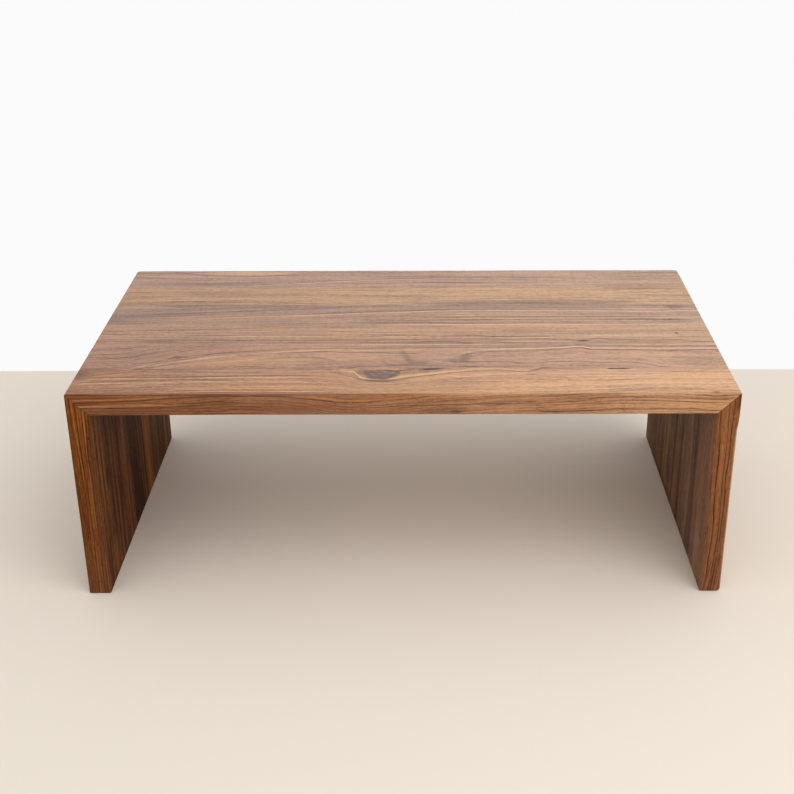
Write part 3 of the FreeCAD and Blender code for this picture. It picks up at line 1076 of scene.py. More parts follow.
AROUND_THE_KNOT = (
    Stroke(LIGHT, 6.5, ((-125, 500), (-113, 508, 0.3), (-104, 514, 0.5), (-95, 516.5, 0.6), (-87, 519, 0.8),
        (-81, 528, 0.8), (-74, 540, 0.7), (-67, 547, 0.6), (-57, 551, 0.4), (-40, 553, 0.3), (-30, 552))),
    Stroke(LIGHT, 7, ((-32, 553), (-23, 550, 0.5), (-15, 546, 0.8), (-8, 542, 0.9), (-2, 539.5, 0.8),
        (10, 535.5, 0.7), (27, 531, 0.7), (44, 527, 0.7), (61, 522.6, 0.7), (78, 518.5, 0.7),
        (96, 514.5, 0.6), (126, 507, 0.6), (157, 505.6, 0.5), (180, 510.5, 0.5), (202, 513.9, 0.4),
        (225, 512))),
    Stroke(DARK, 3.4, ((-134, 510), (-118, 521, 0.4), (-98, 534, 0.5), (-74, 549, 0.6), (-60, 556.3, 0.8),
        (-46, 558, 1), (-33, 559.3, 1), (-23, 557.3, 0.9), (-6, 551.3, 0.8), (10, 544.4, 0.7),
        (27, 538.5, 0.7), (44, 534, 0.6), (70, 527.5, 0.6), (96, 521, 0.6), (126, 516, 0.6),
        (157, 513.6, 0.5), (179, 515, 0.6), (202, 518.6, 0.7), (215, 517.8, 0.7), (225, 510.8, 0.7),
        (233, 508.5, 0.6), (244, 502))),
    Stroke(DARK, 6, ((-86, 543), (-66, 552.5, 0.5), (-50, 556, 0.8), (-33, 557, 0.8), (-20, 554.5, 0.7),
        (-6, 550))),
    Stroke(DARK, 3.2, ((-34, 513), (-28, 513.6, 0.8), (-14, 515.8, 0.9), (-2, 513.8, 0.8), (10, 509.6, 0.5),
        (20, 508))),
    Stroke(DARK, 2.4, ((-300, 500), (-283, 495.5, 0.6), (-264, 494.7, 0.7), (-250, 496.7, 0.6),
        (-225, 504.5, 0.6), (-200, 506.5, 0.6), (-183, 504.8, 0.5), (-165, 502))),
    Stroke(DARK, 2.4, ((-118, 504.5), (-104, 502, 0.5), (-88, 500, 0.6), (-60, 497, 0.7), (-42, 495, 0.6),
        (-7, 491, 0.5), (17, 487.5, 0.5), (45, 486))),
    Stroke(DARK, 3.4, ((92, 499), (99, 498, 0.8), (116, 496.6, 0.8), (126, 498, 0.3), (145, 499))),
    Stroke(DARK, 6, ((212, 517), (224, 513, 0.6), (232, 508, 0.8), (241, 505, 0.8), (258, 506, 0.5),
        (300, 507, 0.3), (330, 507))),
    Stroke(DARK, 3.4, ((206, 531), (212, 531, 0.5), (222, 530, 0.5), (228, 530))),
    Stroke(DARK, 3, ((-460, 502), (-452, 504, 0.4), (-444, 513, 0.4), (-438, 522, 0.4), (-433, 532))),
)
KNOT_SMUDGES = (
    Smudge(BLACK, 45, 508, 28, 5.4, 0.9, lean=-0.1),
    Smudge(GREY, 46, 507, 44, 9, 0.45, lean=-0.12),
    Smudge(GREY, -66, 520, 26, 20, 0.5),
    Smudge(GREY, 6, 512, 34, 8, 0.45, lean=-0.1),
    Smudge(DARK, -132, 508, 8, 5, 0.4),
    Smudge(GREY, -376, 516, 24, 7, 0.45),
    Smudge(GREY, 150, 498, 60, 8, 0.3),
)

# Painted shade: the foot of the right leg's inside, darkened where it stands on the floor.
PAINTED_FLOOR_SHADE = (Smudge(BLACK, 950, 230, 30, 190, 0.5, face=INNER),)

MARKS_1 = (
    *EDGE_SMUDGES,
    *KNOT_SMUDGES,
    Smudge(ROSE, -250, 506, 250, 34, 0.45),
    Smudge(ROSE, 330, 506, 330, 36, 0.6),
    Smudge(DARK, -552, 530, 28, 30, 0.55),
    Smudge(BLACK, -553, 526, 9, 4, 0.6),
    Smudge(RED, -548, 588, 26, 22, 0.35),
    Smudge(RED, -470, 520, 110, 22, 0.12),
    Smudge(GOLD, -240, 582, 190, 14, 0.35),
    Smudge(GREY, -34, 552, 60, 13, 0.35),
    Smudge(DARK, -33, 559, 20, 5, 0.5),
    Smudge(RED, 96, 549.5, 6, 4, 0.5),
    Smudge(RED, 517, 605, 8, 5, 0.7),
    # Painted shade: the insides of the legs darkened just under the top, where leg and top meet.
    Smudge(DARK, -575, 570, 60, 26, 0.4, face=INNER),
    Smudge(DARK, -747, 545, 18, 13, 0.6, face=INNER),
    Smudge(LIGHT, -905, 540, 44, 30, 0.14, face=INNER),
    Smudge(LIGHT, -800, 545, 44, 16, 0.12, face=INNER),
    # Painted shade under the top, inside the right leg.
    Smudge(DARK, 565, 570, 70, 50, 0.5, face=INNER),
    Smudge(RED, 740, 560, 110, 36, 0.25, face=INNER),
    Smudge(LIGHT, 900, 560, 60, 40, 0.15, face=INNER),
    *EDGE_STROKES,
    *AROUND_THE_KNOT,
    Stroke(DARK, 3.2, ((-470, 506), (-449, 506, 0.7), (-350, 506.5, 0.6), (-250, 506.5, 0.3),
        (-205, 507, 0.3), (-180, 506.5, 0.8), (-165, 507, 0.5), (-120, 507, 0.4), (-108, 507))),
    Stroke(DARK, 2.8, ((-410, 514), (-395, 514.7, 0.4), (-380, 511.5, 0.5), (-354, 516.4, 0.5), (-340, 517))),
    Stroke(DARK, 3.4, ((-558, 540, 0.4), (-480, 540, 0.6), (-443, 540.5, 0.7), (-383, 539.5, 0.8),
        (-340, 537.5, 0.9), (-290, 535, 0.8), (-240, 534, 0.6), (-150, 533, 0.4), (-120, 533))),
    Stroke(DARK, 2.6, ((-370, 519), (-340, 519.5, 0.5), (-250, 519, 0.5), (-220, 519))),
    Stroke(LIGHT, 3, ((-540, 546), (-500, 545.5, 0.5), (-438, 545.5, 0.6), (-382, 544.5, 0.6),
        (-277, 541, 0.7), (-180, 541, 0.5), (-140, 543))),
    Stroke(LIGHT, 4, ((-555, 565, 0.2), (-500, 564, 0.5), (-400, 561, 0.5), (-350, 558.5, 0.5),
        (-220, 557, 0.5), (-160, 560, 0.3), (-120, 566))),
    Stroke(DARK, 3, ((-390, 594), (-359, 594, 0.6), (-290, 592, 0.6), (-180, 593, 0.6), (-120, 594))),
    Stroke(LIGHT, 3, ((-450, 599), (-380, 599, 0.5), (-290, 597, 0.5), (-180, 598, 0.5), (-120, 599))),
    Stroke(LIGHT, 4, ((60, 536), (80, 536, 0.5), (97, 540, 0.7), (115, 536, 0.6), (150, 530, 0.5),
        (190, 527, 0.3), (205, 526))),
    Stroke(LIGHT, 3, ((225, 533), (250, 530, 0.5), (300, 526, 0.4), (360, 522))),
    Stroke(LIGHT, 3, ((190, 588), (205, 588, 0.7), (262, 588, 0.6), (330, 589, 0.6), (350, 589))),
    Stroke(LIGHT, 3, ((190, 595), (205, 595, 0.6), (262, 595, 0.6), (340, 596, 0.4), (370, 596))),
    Stroke(GOLD, 5, ((80, 590), (100, 590, 0.5), (150, 588, 0.7), (190, 589, 0.5), (220, 589))),
    Stroke(RED, 2.6, ((160, 584.5), (180, 584.5, 0.5), (255, 584.5, 0.5), (275, 579.5, 0.5), (340, 577, 0.4),
        (370, 577))),
    Stroke(LIGHT, 3.2, ((265, 541), (285, 539, 0.5), (405, 537, 0.5), (435, 532, 0.5), (465, 528, 0.4),
        (490, 526))),
    Stroke(RED, 3, ((450, 523), (465, 522, 0.5), (492, 521, 0.5), (525, 523, 0.5), (555, 521, 0.5))),
    Stroke(BLACK, 5, ((349, 507.4), (354, 507.4, 1), (384, 507.4, 1), (389, 507.4))),
    Stroke(LIGHT, 2.6, ((330, 513), (345, 513, 0.6), (395, 513, 0.6), (420, 513))),
    Stroke(PEAT, 8, ((-860, 530), (-820, 527, 0.4), (-760, 520, 0.4), (-700, 512, 0.4), (-640, 507, 0.4),
        (-600, 505)), INNER),
    Stroke(PEAT, 7, ((-900, 580), (-860, 566, 0.35), (-820, 558, 0.35), (-770, 550, 0.35),
        (-720, 543)), INNER),
    Stroke(LIGHT, 5, ((-946, 603, 0.25), (-600, 603, 0.2)), INNER),
)
STRIP_1 = Walnut(
    strip=1,
    left=(158, 112, 81),
    right=(216, 168, 127),
    left_leg=(78, 43, 19),
    right_leg=(128, 95, 76),
    # Darker to the left and on the legs, partly the wood and partly painted shade.
    edge=(
        (-940, (106, 62, 36)), (-800, (96, 53, 21)), (-690, (100, 55, 19)), (-558, (116, 66, 22)),
        (-470, (131, 83, 42)), (-430, (137, 89, 48)), (-387, (133, 85, 47)), (-300, (127, 81, 47)),
        (-250, (141, 97, 65)), (-172, (143, 99, 67)), (-129, (148, 102, 69)), (-86, (144, 98, 66)),
        (0, (151, 104, 70)), (190, (179, 131, 93)), (290, (168, 121, 84)), (400, (185, 139, 100)),
        (450, (190, 143, 103)), (557, (189, 139, 97)), (560, (128, 79, 45)), (600, (135, 86, 53)),
        (720, (128, 82, 51)), (800, (123, 79, 48)), (946, (125, 81, 52)),
    ),
    rear_course=(
        (-560, 20), (-446, 0), (-400, -4), (-250, 0), (-130, 0), (-90, 14),
        (-38, 44), (0, 36), (50, 20), (100, 4), (230, 2), (400, 0), (560, 4),
    ),
    front_course=(
        (-560, 8), (-450, 4), (-350, 0), (-180, 0), (-80, 6), (-40, 9),
        (20, 4), (100, -2), (250, 0), (340, -4), (465, -12), (560, -14),
    ),
    deep_course=(
        (-950, 0), (-560, 0), (-450, -1), (-350, -6), (-250, -10), (-180, -7),
        (-140, 0), (-100, 4), (-50, 3), (0, 0), (50, -4), (100, -6), (150, -9),
        (200, -12), (300, -16), (375, -18), (450, -16), (520, -13), (560, -14),
        (700, -14), (800, -16), (946, -6),
    ),
    figure=Figure(rings=0.35, ring_rise=4.6, patches=0.15, flecks=0.38),
    marks=MARKS_1,
    knots=(Knot(-39, 508, 32, 42, 3.2, 509, 9),),
)
LEFT_SWEEP = (
    (-900, 110), (-549, 79), (-496, 77), (-474, 70), (-459, 62), (-434, 53), (-409, 42), (-384, 31),
    (-346, 21), (-289, 9), (-246, 4), (-190, 0),
)
MARKS_2 = (
    *KNOT_SMUDGES,
    Smudge(GREY, -398, 456, 20, 9, 0.7, lean=-0.3),
    Smudge(DARK, -400, 455, 10, 5, 0.5),
    Smudge(GREY, -160, 470, 40, 14, 0.2),
    Smudge(GREY, 4, 457, 10, 15, 0.75, lean=0.4),
    Smudge(GREY, 25, 480, 20, 7, 0.6),
    Smudge(GREY, 106, 461, 17, 19, 0.7, lean=-0.6),
    Smudge(GREY, 84, 470, 16, 10, 0.5),
    Smudge(DARK, 108, 477.5, 12, 4.5, 0.5),
    Smudge(GOLD, -250, 476, 170, 30, 0.3, lean=-0.1),
    Smudge(GREY, 200, 408, 190, 10, 0.35),
    Smudge(GREY, 308, 401, 10, 6, 0.5),
    Smudge(GREY, 326, 420, 8, 4, 0.6),
    Smudge(GREY, 72, 409.5, 14, 4, 0.5),
    Smudge(GREY, 482, 458, 22, 8, 0.4),
    Smudge(GREY, 530, 469.5, 14, 6, 0.45),
    Smudge(GREY, 520, 475, 70, 34, 0.25),
    Smudge(GREY, -480, 440, 90, 26, 0.25),
    Smudge(LIGHT, -150, 452, 230, 46, 0.12),
    Smudge(RED, -840, 446, 70, 24, 0.3, face=INNER),
    Smudge(LIGHT, 760, 412, 180, 26, 0.14, face=INNER),
    Smudge(DARK, 720, 490, 60, 14, 0.3, face=INNER),
    *AROUND_THE_KNOT,
    Stroke(DARK, 2.6, ((-556, 443, 0.2), (-544, 442, 0.6), (-499, 437, 0.6), (-464, 422, 0.6),
        (-440, 414, 0.6), (-419, 407, 0.4), (-395, 399))),
    Stroke(DARK, 2.4, ((-556, 423, 0.2), (-549, 422, 0.5), (-514, 417, 0.5), (-424, 402, 0.4), (-395, 397))),
    Stroke(DARK, 2.4, ((-556, 462, 0.2), (-535, 461, 0.5), (-490, 455, 0.5), (-455, 441, 0.5),
        (-410, 424, 0.4), (-370, 412))),
    Stroke(DARK, 2.8, ((-558, 501, 0.4), (-523, 501, 0.6), (-485, 501.3, 0.6), (-456, 501.5, 0.7),
        (-439, 488.7, 0.8), (-413, 475.4, 0.8), (-395, 465.8, 0.9), (-377, 462, 0.8), (-359, 451, 0.7),
        (-332, 439, 0.6), (-291, 431.8, 0.5), (-255, 428))),
    Stroke(DARK, 2.6, ((-475, 482), (-460, 480, 0.5), (-442, 477.6, 0.6), (-422, 468, 0.6), (-409, 456, 0.8),
        (-398, 451, 0.8), (-386, 453.6, 0.7), (-375, 458))),
    Stroke(DARK, 2.4, ((-460, 503), (-450, 501.6, 0.4), (-411, 489, 0.5), (-381, 480.5, 0.5),
        (-355, 476, 0.5), (-287, 461.6, 0.4), (-245, 455))),
    Stroke(LIGHT, 8, ((-462, 494), (-449, 492, 0.15), (-424, 482, 0.25), (-404, 476, 0.3), (-379, 468, 0.35),
        (-346, 457, 0.35), (-310, 448, 0.25), (-270, 442))),
    Stroke(LIGHT, 2.6, ((-556, 507, 0.4), (-509, 506, 0.5), (-469, 502, 0.3), (-450, 498))),
    Stroke(DARK, 2.8, ((-300, 450), (-289, 447, 0.6), (-255, 444.5, 0.7), (-242, 438, 0.7),
        (-208, 436.4, 0.7), (-173, 432.6, 0.8), (-146, 430, 0.8), (-114, 433, 0.8), (-44, 436, 0.8),
        (-27, 437, 0.7), (0, 439, 0.4), (20, 440))),
    Stroke(LIGHT, 3.6, ((-262, 444), (-247, 439.6, 0.4), (-203, 427.4, 0.6), (-174, 425, 0.7),
        (-150, 422.6, 0.7), (-115, 423, 0.7), (-44, 424.4, 0.6), (0, 424, 0.4), (40, 423))),
    Stroke(GREY, 8, ((-262, 466), (-248, 464, 0.45), (-206, 457, 0.6), (-168, 456.5, 0.7),
        (-140, 462.6, 0.7), (-124, 470, 0.5), (-116, 474))),
    Stroke(GREY, 7, ((-192, 492), (-180, 491.4, 0.3), (-161, 486.7, 0.4), (-139, 477, 0.4), (-128, 473))),
    Stroke(LIGHT, 2.8, ((-558, 398.6, 0.2), (-400, 398.6, 0.2), (-200, 398.4, 0.25), (-60, 398.4, 0.7),
        (90, 398.4, 0.9), (105, 398.4, 0.3), (120, 398.4, 0.6), (190, 398.4, 0.5), (210, 398.4, 0.1),
        (400, 399, 0.3), (450, 401.5, 0.5), (558, 401, 0.4))),
    Stroke(GREY, 12, ((-60, 408), (-20, 408, 0.35), (60, 408, 0.45), (200, 405, 0.4), (280, 402, 0.5),
        (300, 401, 0.2), (330, 404, 0.3), (400, 408, 0.4), (558, 409, 0.5))),
    Stroke(GREY, 30, ((-12, 437), (-6, 438, 0.5), (0, 446, 0.6), (4, 460, 0.6), (10, 473, 0.5),
        (22, 482, 0.4), (38, 484, 0.3), (48, 484))),
    Stroke(DARK, 2.6, ((0, 441), (8, 440, 0.7), (22, 438, 0.6), (34, 437))),
    Stroke(DARK, 2.4, ((-366, 448), (-354, 443, 0.5), (-334, 436, 0.5), (-309, 432, 0.5), (-284, 429, 0.5),
        (-249, 423, 0.5), (-184, 417, 0.5), (-60, 416, 0.3), (60, 416, 0.3), (190, 416))),
    Stroke(LIGHT, 2.8, ((-10, 418), (20, 418, 0.6), (100, 418, 0.6), (160, 419.5, 0.5), (190, 418))),
    Stroke(LIGHT, 4.6, ((92, 442), (109, 434.5, 0.4), (141, 424.6, 0.6), (179, 420, 1), (209, 418.5, 1),
        (241, 416.5, 1), (285, 413, 1), (300, 409.5, 1), (310, 408.5, 1), (320, 411, 1), (335, 416, 1),
        (405, 417.5, 1), (555, 418.5, 1))),
    Stroke(DARK, 2.8, ((85, 462), (97, 452, 0.5), (113, 442, 0.6), (139, 434.7, 0.7), (169, 430, 0.7),
        (198, 430, 0.6), (240, 426.5, 0.7), (267, 423, 0.7), (292, 418, 0.7), (310, 415.5, 0.7),
        (320, 418, 0.8), (330, 423.5, 0.8), (355, 424.5, 0.7), (405, 425, 0.7), (455, 427, 0.6),
        (555, 425, 0.6))),
    Stroke(GREY, 8, ((62, 474), (77, 471, 0.4), (93, 466.6, 0.5), (101, 452, 0.5), (109, 444.5, 0.4),
        (125, 440))),
    Stroke(LIGHT, 9, ((-946, 487, 0.34), (-820, 486, 0.34), (-680, 482, 0.28), (-600, 480)), INNER),
    Stroke(PEAT, 20, ((-946, 452, 0.5), (-800, 450, 0.5), (-690, 446, 0.4)), INNER),
    Stroke(LIGHT, 4, ((-946, 412, 0.2), (-800, 411, 0.25), (-640, 408, 0.2)), INNER),
    Stroke(LIGHT, 7, ((660, 434, 0.35), (700, 437, 0.55), (760, 449, 0.55), (850, 451, 0.52),
        (946, 442, 0.35)), INNER),
    Stroke(BLACK, 26, ((690, 482, 0.2), (760, 480, 0.3), (880, 478, 0.35), (946, 476, 0.35)), INNER),
    Stroke(DARK, 2.8, ((78, 474), (89, 477, 0.8), (115, 477.5, 1), (139, 476, 0.8), (166, 476.8, 0.8),
        (185, 479, 0.8), (224, 483.5, 0.7), (245, 479, 0.8), (267, 477, 0.8), (320, 478, 0.8),
        (340, 481, 0.8), (380, 479.5, 0.8), (405, 482, 0.8), (430, 493, 0.9), (446, 500, 0.8), (462, 502))),
)
STRIP_2 = Walnut(
    strip=2,
    left=(166, 126, 104),
    right=(191, 151, 126),
    left_leg=(72, 36, 14),
    right_leg=(112, 85, 68),
    rear_course=(
        *LEFT_SWEEP,
        (0, 0), (180, 2), (242, -3), (292, -13), (310, -17), (330, -7),
        (355, -5), (900, -5),
    ),
    front_course=(
        *LEFT_SWEEP,
        (-110, 0), (-65, -8), (0, -14), (40, -10), (95, -6), (180, -5), (320, -8),
        (405, -3), (430, 8), (457, 16), (900, 30),
    ),
    figure=Figure(rings=0.10, streaks=0.30, ring_gap=17, veins=0.28, lines=0.2),
    marks=MARKS_2,
)
MARKS_3 = (
    Smudge(GREY, 322, 382, 16, 7, 0.8),
    Smudge(DARK, 321, 382, 12, 4, 0.8),
    Smudge(GREY, 320, 401, 14, 7, 0.5),
    Smudge(GREY, -440, 384, 60, 12, 0.5),
    Smudge(GREY, -65, 384, 40, 8, 0.4),
    Smudge(GREY, 420, 388, 150, 12, 0.4),
    Smudge(BLACK, 496.5, 347, 4, 6.5, 0.85),
    Smudge(DARK, -56, 361, 6, 3, 0.5),
    Smudge(GOLD, -20, 308, 40, 8, 0.4),
    Smudge(GOLD, 250, 312, 260, 8, 0.3),
    Smudge(GOLD, -300, 306, 60, 10, 0.2),
    Smudge(BLACK, 768, 341, 22, 9, 0.6, face=INNER),
    Smudge(BLACK, 752, 366, 24, 8, 0.6, face=INNER),
    Smudge(RED, 835, 332, 40, 14, 0.35, face=INNER),
    *PAINTED_FLOOR_SHADE,
    Stroke(LIGHT, 3.4, ((-60, 304), (-20, 303.5, 0.5), (100, 303, 0.65), (300, 304, 0.65), (454, 305, 0.7),
        (500, 307, 0.6), (540, 312, 0.3), (558, 314, 0.3))),
    Stroke(LIGHT, 2.8, ((-325, 360), (-300, 359, 0.6), (-150, 359, 0.5), (0, 361, 0.4), (60, 362))),
    Stroke(LIGHT, 2.8, ((140, 368), (190, 367.5, 0.6), (262, 367, 0.8), (270, 367))),
    Stroke(DARK, 3, ((-400, 355), (-380, 354, 0.6), (-330, 353, 0.7), (-290, 352, 0.5), (-180, 354, 0.4),
        (-100, 360, 0.4), (-56, 361, 0.7), (-30, 356, 0.6), (0, 356, 0.6), (60, 358, 0.6), (120, 356, 0.6),
        (145, 360, 0.5), (160, 362, 0.8), (255, 361, 0.8), (266, 361))),
    Stroke(DARK, 4, ((-556, 371, 0.5), (-500, 370, 0.5), (-460, 374, 0.4), (-420, 374, 0.6),
        (-400, 370, 0.4), (-340, 372))),
    Stroke(DARK, 3, ((-556, 382, 0.6), (-480, 381, 0.5), (-450, 380, 0.5), (-400, 384, 0.3),
        (-300, 386, 0.15), (-150, 388, 0.2), (-60, 389))),
    Stroke(DARK, 3, ((-60, 389, 0.4), (0, 391, 0.5), (27, 387, 0.5), (51, 385, 0.6), (90, 385, 0.6),
        (107, 392, 0.8), (131, 388, 0.8), (151, 387, 0.7), (181, 390, 0.6), (203, 391, 0.5), (280, 392, 0.3),
        (300, 392))),
    Stroke(DARK, 2.4, ((150, 382), (170, 380, 0.6), (200, 376, 0.5), (240, 373, 0.5), (262, 374, 0.8),
        (300, 377, 0.8), (308, 377))),
    Stroke(DARK, 3, ((300, 376, 0.5), (320, 380, 0.7), (338, 376, 0.6), (351, 371, 0.7), (375, 377, 0.7),
        (410, 377, 0.7), (430, 376, 0.4), (470, 378, 0.6), (498, 379, 0.6), (508, 384, 0.5), (530, 388, 0.6),
        (558, 388, 0.6))),
    Stroke(LIGHT, 2.6, ((180, 387), (215, 386, 0.5), (300, 386, 0.5), (308, 386))),
    Stroke(GREY, 12, ((-60, 386, 0.2), (20, 388, 0.5), (60, 388, 0.6), (105, 389, 0.5), (125, 391))),
    Stroke(LIGHT, 4, ((330, 359), (360, 358, 0.6), (420, 357, 0.6), (475, 361, 0.6), (500, 363))),
    Stroke(DARK, 2.6, ((-558, 330, 0.5), (-480, 328, 0.5), (-380, 324, 0.5), (-300, 318, 0.4), (-240, 314))),
    Stroke(LIGHT, 3.4, ((-946, 381, 0.4), (-800, 380, 0.4), (-700, 379, 0.35), (-600, 379, 0.1)), INNER),
    Stroke(LIGHT, 4, ((-946, 391, 0.4), (-800, 390, 0.4), (-700, 389, 0.35), (-600, 389, 0.1)), INNER),
    Stroke(PEAT, 30, ((-946, 335, 0.2), (-720, 335, 0.2)), INNER),
    Stroke(LIGHT, 6, ((690, 381, 0.4), (800, 381, 0.5), (946, 381, 0.4)), INNER),
    Stroke(BLACK, 8, ((740, 306, 0.5), (850, 306, 0.4), (946, 306, 0.4)), INNER),
)
STRIP_3 = Walnut(
    strip=3,
    left=(168, 130, 106),
    right=(191, 153, 125),
    left_leg=(58, 29, 10),
    right_leg=(104, 74, 53),
    figure=Figure(curl=0.08, rings=0.25),
    marks=MARKS_3,
)
MARKS_4 = (
    Smudge(GREY, -470, 262, 110, 30, 0.18, lean=-0.12),
    Smudge(GREY, -544, 276, 26, 16, 0.3),
    Smudge(GREY, -250, 212, 110, 12, 0.15),
    Smudge(GREY, 515, 213, 26, 14, 0.55),
    Smudge(DARK, 496, 278, 5, 4.5, 0.8),
    Smudge(GREY, 505, 287, 50, 12, 0.4),
    Smudge(GREY, 250, 210, 300, 18, 0.45),
    Smudge(GREY, 129, 214, 10, 12, 0.3),
    Smudge(DARK, -222, 223, 7, 5, 0.4),
    Smudge(DARK, -64, 284, 6, 4, 0.5),
    Smudge(LIGHT, -505, 208, 70, 12, 0.25),
    Smudge(GOLD, 0, 262, 540, 26, 0.12),
    Smudge(GOLD, -900, 236, 70, 20, 0.2, face=INNER),
    Smudge(LIGHT, 800, 250, 40, 40, 0.14, face=INNER),
    Smudge(BLACK, 880, 252, 50, 24, 0.3, face=INNER),
    *PAINTED_FLOOR_SHADE,
    Stroke(LIGHT, 3.6, ((-400, 276), (-360, 270, 0.2), (-300, 263, 0.3), (-240, 257, 0.4), (-182, 254, 0.6),
        (-100, 246, 0.7), (0, 238, 0.8), (60, 233, 0.8), (160, 231, 0.9), (220, 233, 0.9), (300, 233, 0.9),
        (400, 236, 0.9), (480, 238, 0.9), (520, 235, 0.8), (558, 234, 0.7))),
    Stroke(DARK, 3, ((-380, 265), (-300, 258, 0.5), (-200, 250, 0.5), (-100, 240, 0.5), (0, 231, 0.6),
        (80, 227, 0.7), (160, 225, 0.7), (300, 227, 0.7), (400, 229, 0.7), (480, 231, 0.7), (520, 228, 0.6),
        (558, 228, 0.5))),
    Stroke(DARK, 2.6, ((0, 266), (60, 264, 0.5), (200, 263, 0.6), (350, 264, 0.6), (430, 263, 0.5),
        (500, 263))),
    Stroke(DARK, 2.6, ((-100, 282), (-20, 281, 0.5), (100, 278, 0.6), (280, 277, 0.6), (440, 278, 0.7),
        (495, 278, 0.8), (520, 278))),
    Stroke(DARK, 2.6, ((-60, 292), (0, 292, 0.2), (150, 291, 0.3), (280, 292, 0.3), (400, 292, 0.3),
        (500, 293, 0.3), (540, 294))),
    Stroke(GREY, 6, ((-558, 259, 0.4), (-450, 248, 0.45), (-350, 236, 0.5), (-250, 226, 0.5),
        (-150, 216, 0.4), (-60, 210))),
    Stroke(GREY, 5, ((-558, 294, 0.4), (-480, 290, 0.45), (-400, 281, 0.45), (-300, 268, 0.4), (-220, 259))),
    Stroke(DARK, 2.6, ((-558, 240, 0.4), (-480, 232, 0.4), (-400, 226, 0.4), (-300, 218))),
    Stroke(LIGHT, 2.8, ((0, 257), (60, 257, 0.4), (300, 257, 0.4), (480, 257, 0.3), (540, 257))),
    Stroke(LIGHT, 2.8, ((0, 272), (60, 272, 0.4), (300, 271, 0.4), (480, 271, 0.3), (540, 271))),
    Stroke(LIGHT, 2.8, ((0, 286), (60, 286, 0.4), (300, 285, 0.4), (480, 285, 0.3), (540, 285))),
    Stroke(DARK, 3, ((-556, 267, 0.7), (-500, 262, 0.5), (-440, 257, 0.6), (-380, 250, 0.4), (-320, 244))),
    Stroke(DARK, 3, ((-556, 284, 0.6), (-500, 282, 0.6), (-440, 276, 0.4), (-380, 272))),
    Stroke(DARK, 2.8, ((-480, 248), (-425, 243, 0.6), (-360, 236, 0.5), (-300, 231, 0.6), (-230, 225, 0.5),
        (-180, 222, 0.4), (-100, 216))),
    Stroke(DARK, 2.8, ((-470, 224), (-430, 221, 0.5), (-370, 216, 0.5), (-300, 210, 0.4), (-200, 206))),
    Stroke(LIGHT, 6, ((-946, 202, 0.45), (-780, 202, 0.45), (-600, 202, 0.35)), INNER),
    Stroke(GOLD, 32, ((-946, 230, 0.75), (-780, 232, 0.75), (-600, 234, 0.6)), INNER),
    Stroke(LIGHT, 6, ((-946, 254, 0.3), (-780, 255, 0.3), (-600, 256, 0.25)), INNER),
    Stroke(PEAT, 26, ((-946, 284, 0.25), (-600, 284, 0.25)), INNER),
    Stroke(DARK, 2.8, ((-190, 216), (-150, 213, 0.5), (-110, 211, 0.6), (-60, 207, 0.5), (-20, 203, 0.5),
        (20, 201))),
)
STRIP_4 = Walnut(
    strip=4,
    left=(154, 124, 109),
    right=(184, 150, 128),
    left_leg=(56, 28, 8),
    right_leg=(113, 82, 58),
    rear_course=(
        (-560, 60), (-419, 46), (-182, 20), (42, 1), (161, -3), (300, 2), (560, 6),
    ),
    front_course=((-560, 16), (-300, 4), (0, 0), (560, 6)),
    figure=Figure(rings=0.4),
    marks=MARKS_4,
)
MARKS_5 = (
    Smudge(DARK, -35, 124, 4, 4, 0.8),
    Smudge(GREY, 240, 196, 270, 26, 0.6),
    Smudge(GREY, 217, 185, 26, 10, 0.35),
    Smudge(GREY, 470, 106, 100, 7, 0.35),
    Smudge(DARK, -430, 188, 150, 14, 0.2),
    Smudge(RED, 890, 185, 40, 26, 0.3, face=INNER),
    *PAINTED_FLOOR_SHADE,
    Stroke(DARK, 3, ((-558, 195, 0.5), (-500, 195, 0.5), (-450, 195, 0.4), (-420, 194))),
    Stroke(DARK, 3, ((-470, 180), (-460, 180, 0.5), (-430, 179, 0.5), (-400, 178, 0.4), (-380, 178))),
    Stroke(DARK, 2.8, ((-420, 182), (-400, 183, 0.5), (-300, 186, 0.5), (-200, 190, 0.5), (-150, 192))),
    Stroke(DARK, 2.6, ((370, 112), (400, 112, 0.6), (480, 112, 0.7), (558, 113, 0.6))),
    Stroke(PEAT, 14, ((-946, 185, 0.6), (-780, 185, 0.6), (-640, 185, 0.4)), INNER),
    Stroke(DARK, 2.4, ((60, 178), (110, 174, 0.4), (200, 166, 0.5), (300, 172, 0.5), (380, 180, 0.4),
        (440, 190))),
)
STRIP_5 = Walnut(
    strip=5,
    left=(176, 137, 107),
    right=(198, 159, 126),
    left_leg=(69, 37, 12),
    right_leg=(108, 76, 55),
    figure=Figure(bands=0.24, rings=0.15, ring_gap=8),
    marks=MARKS_5,
)
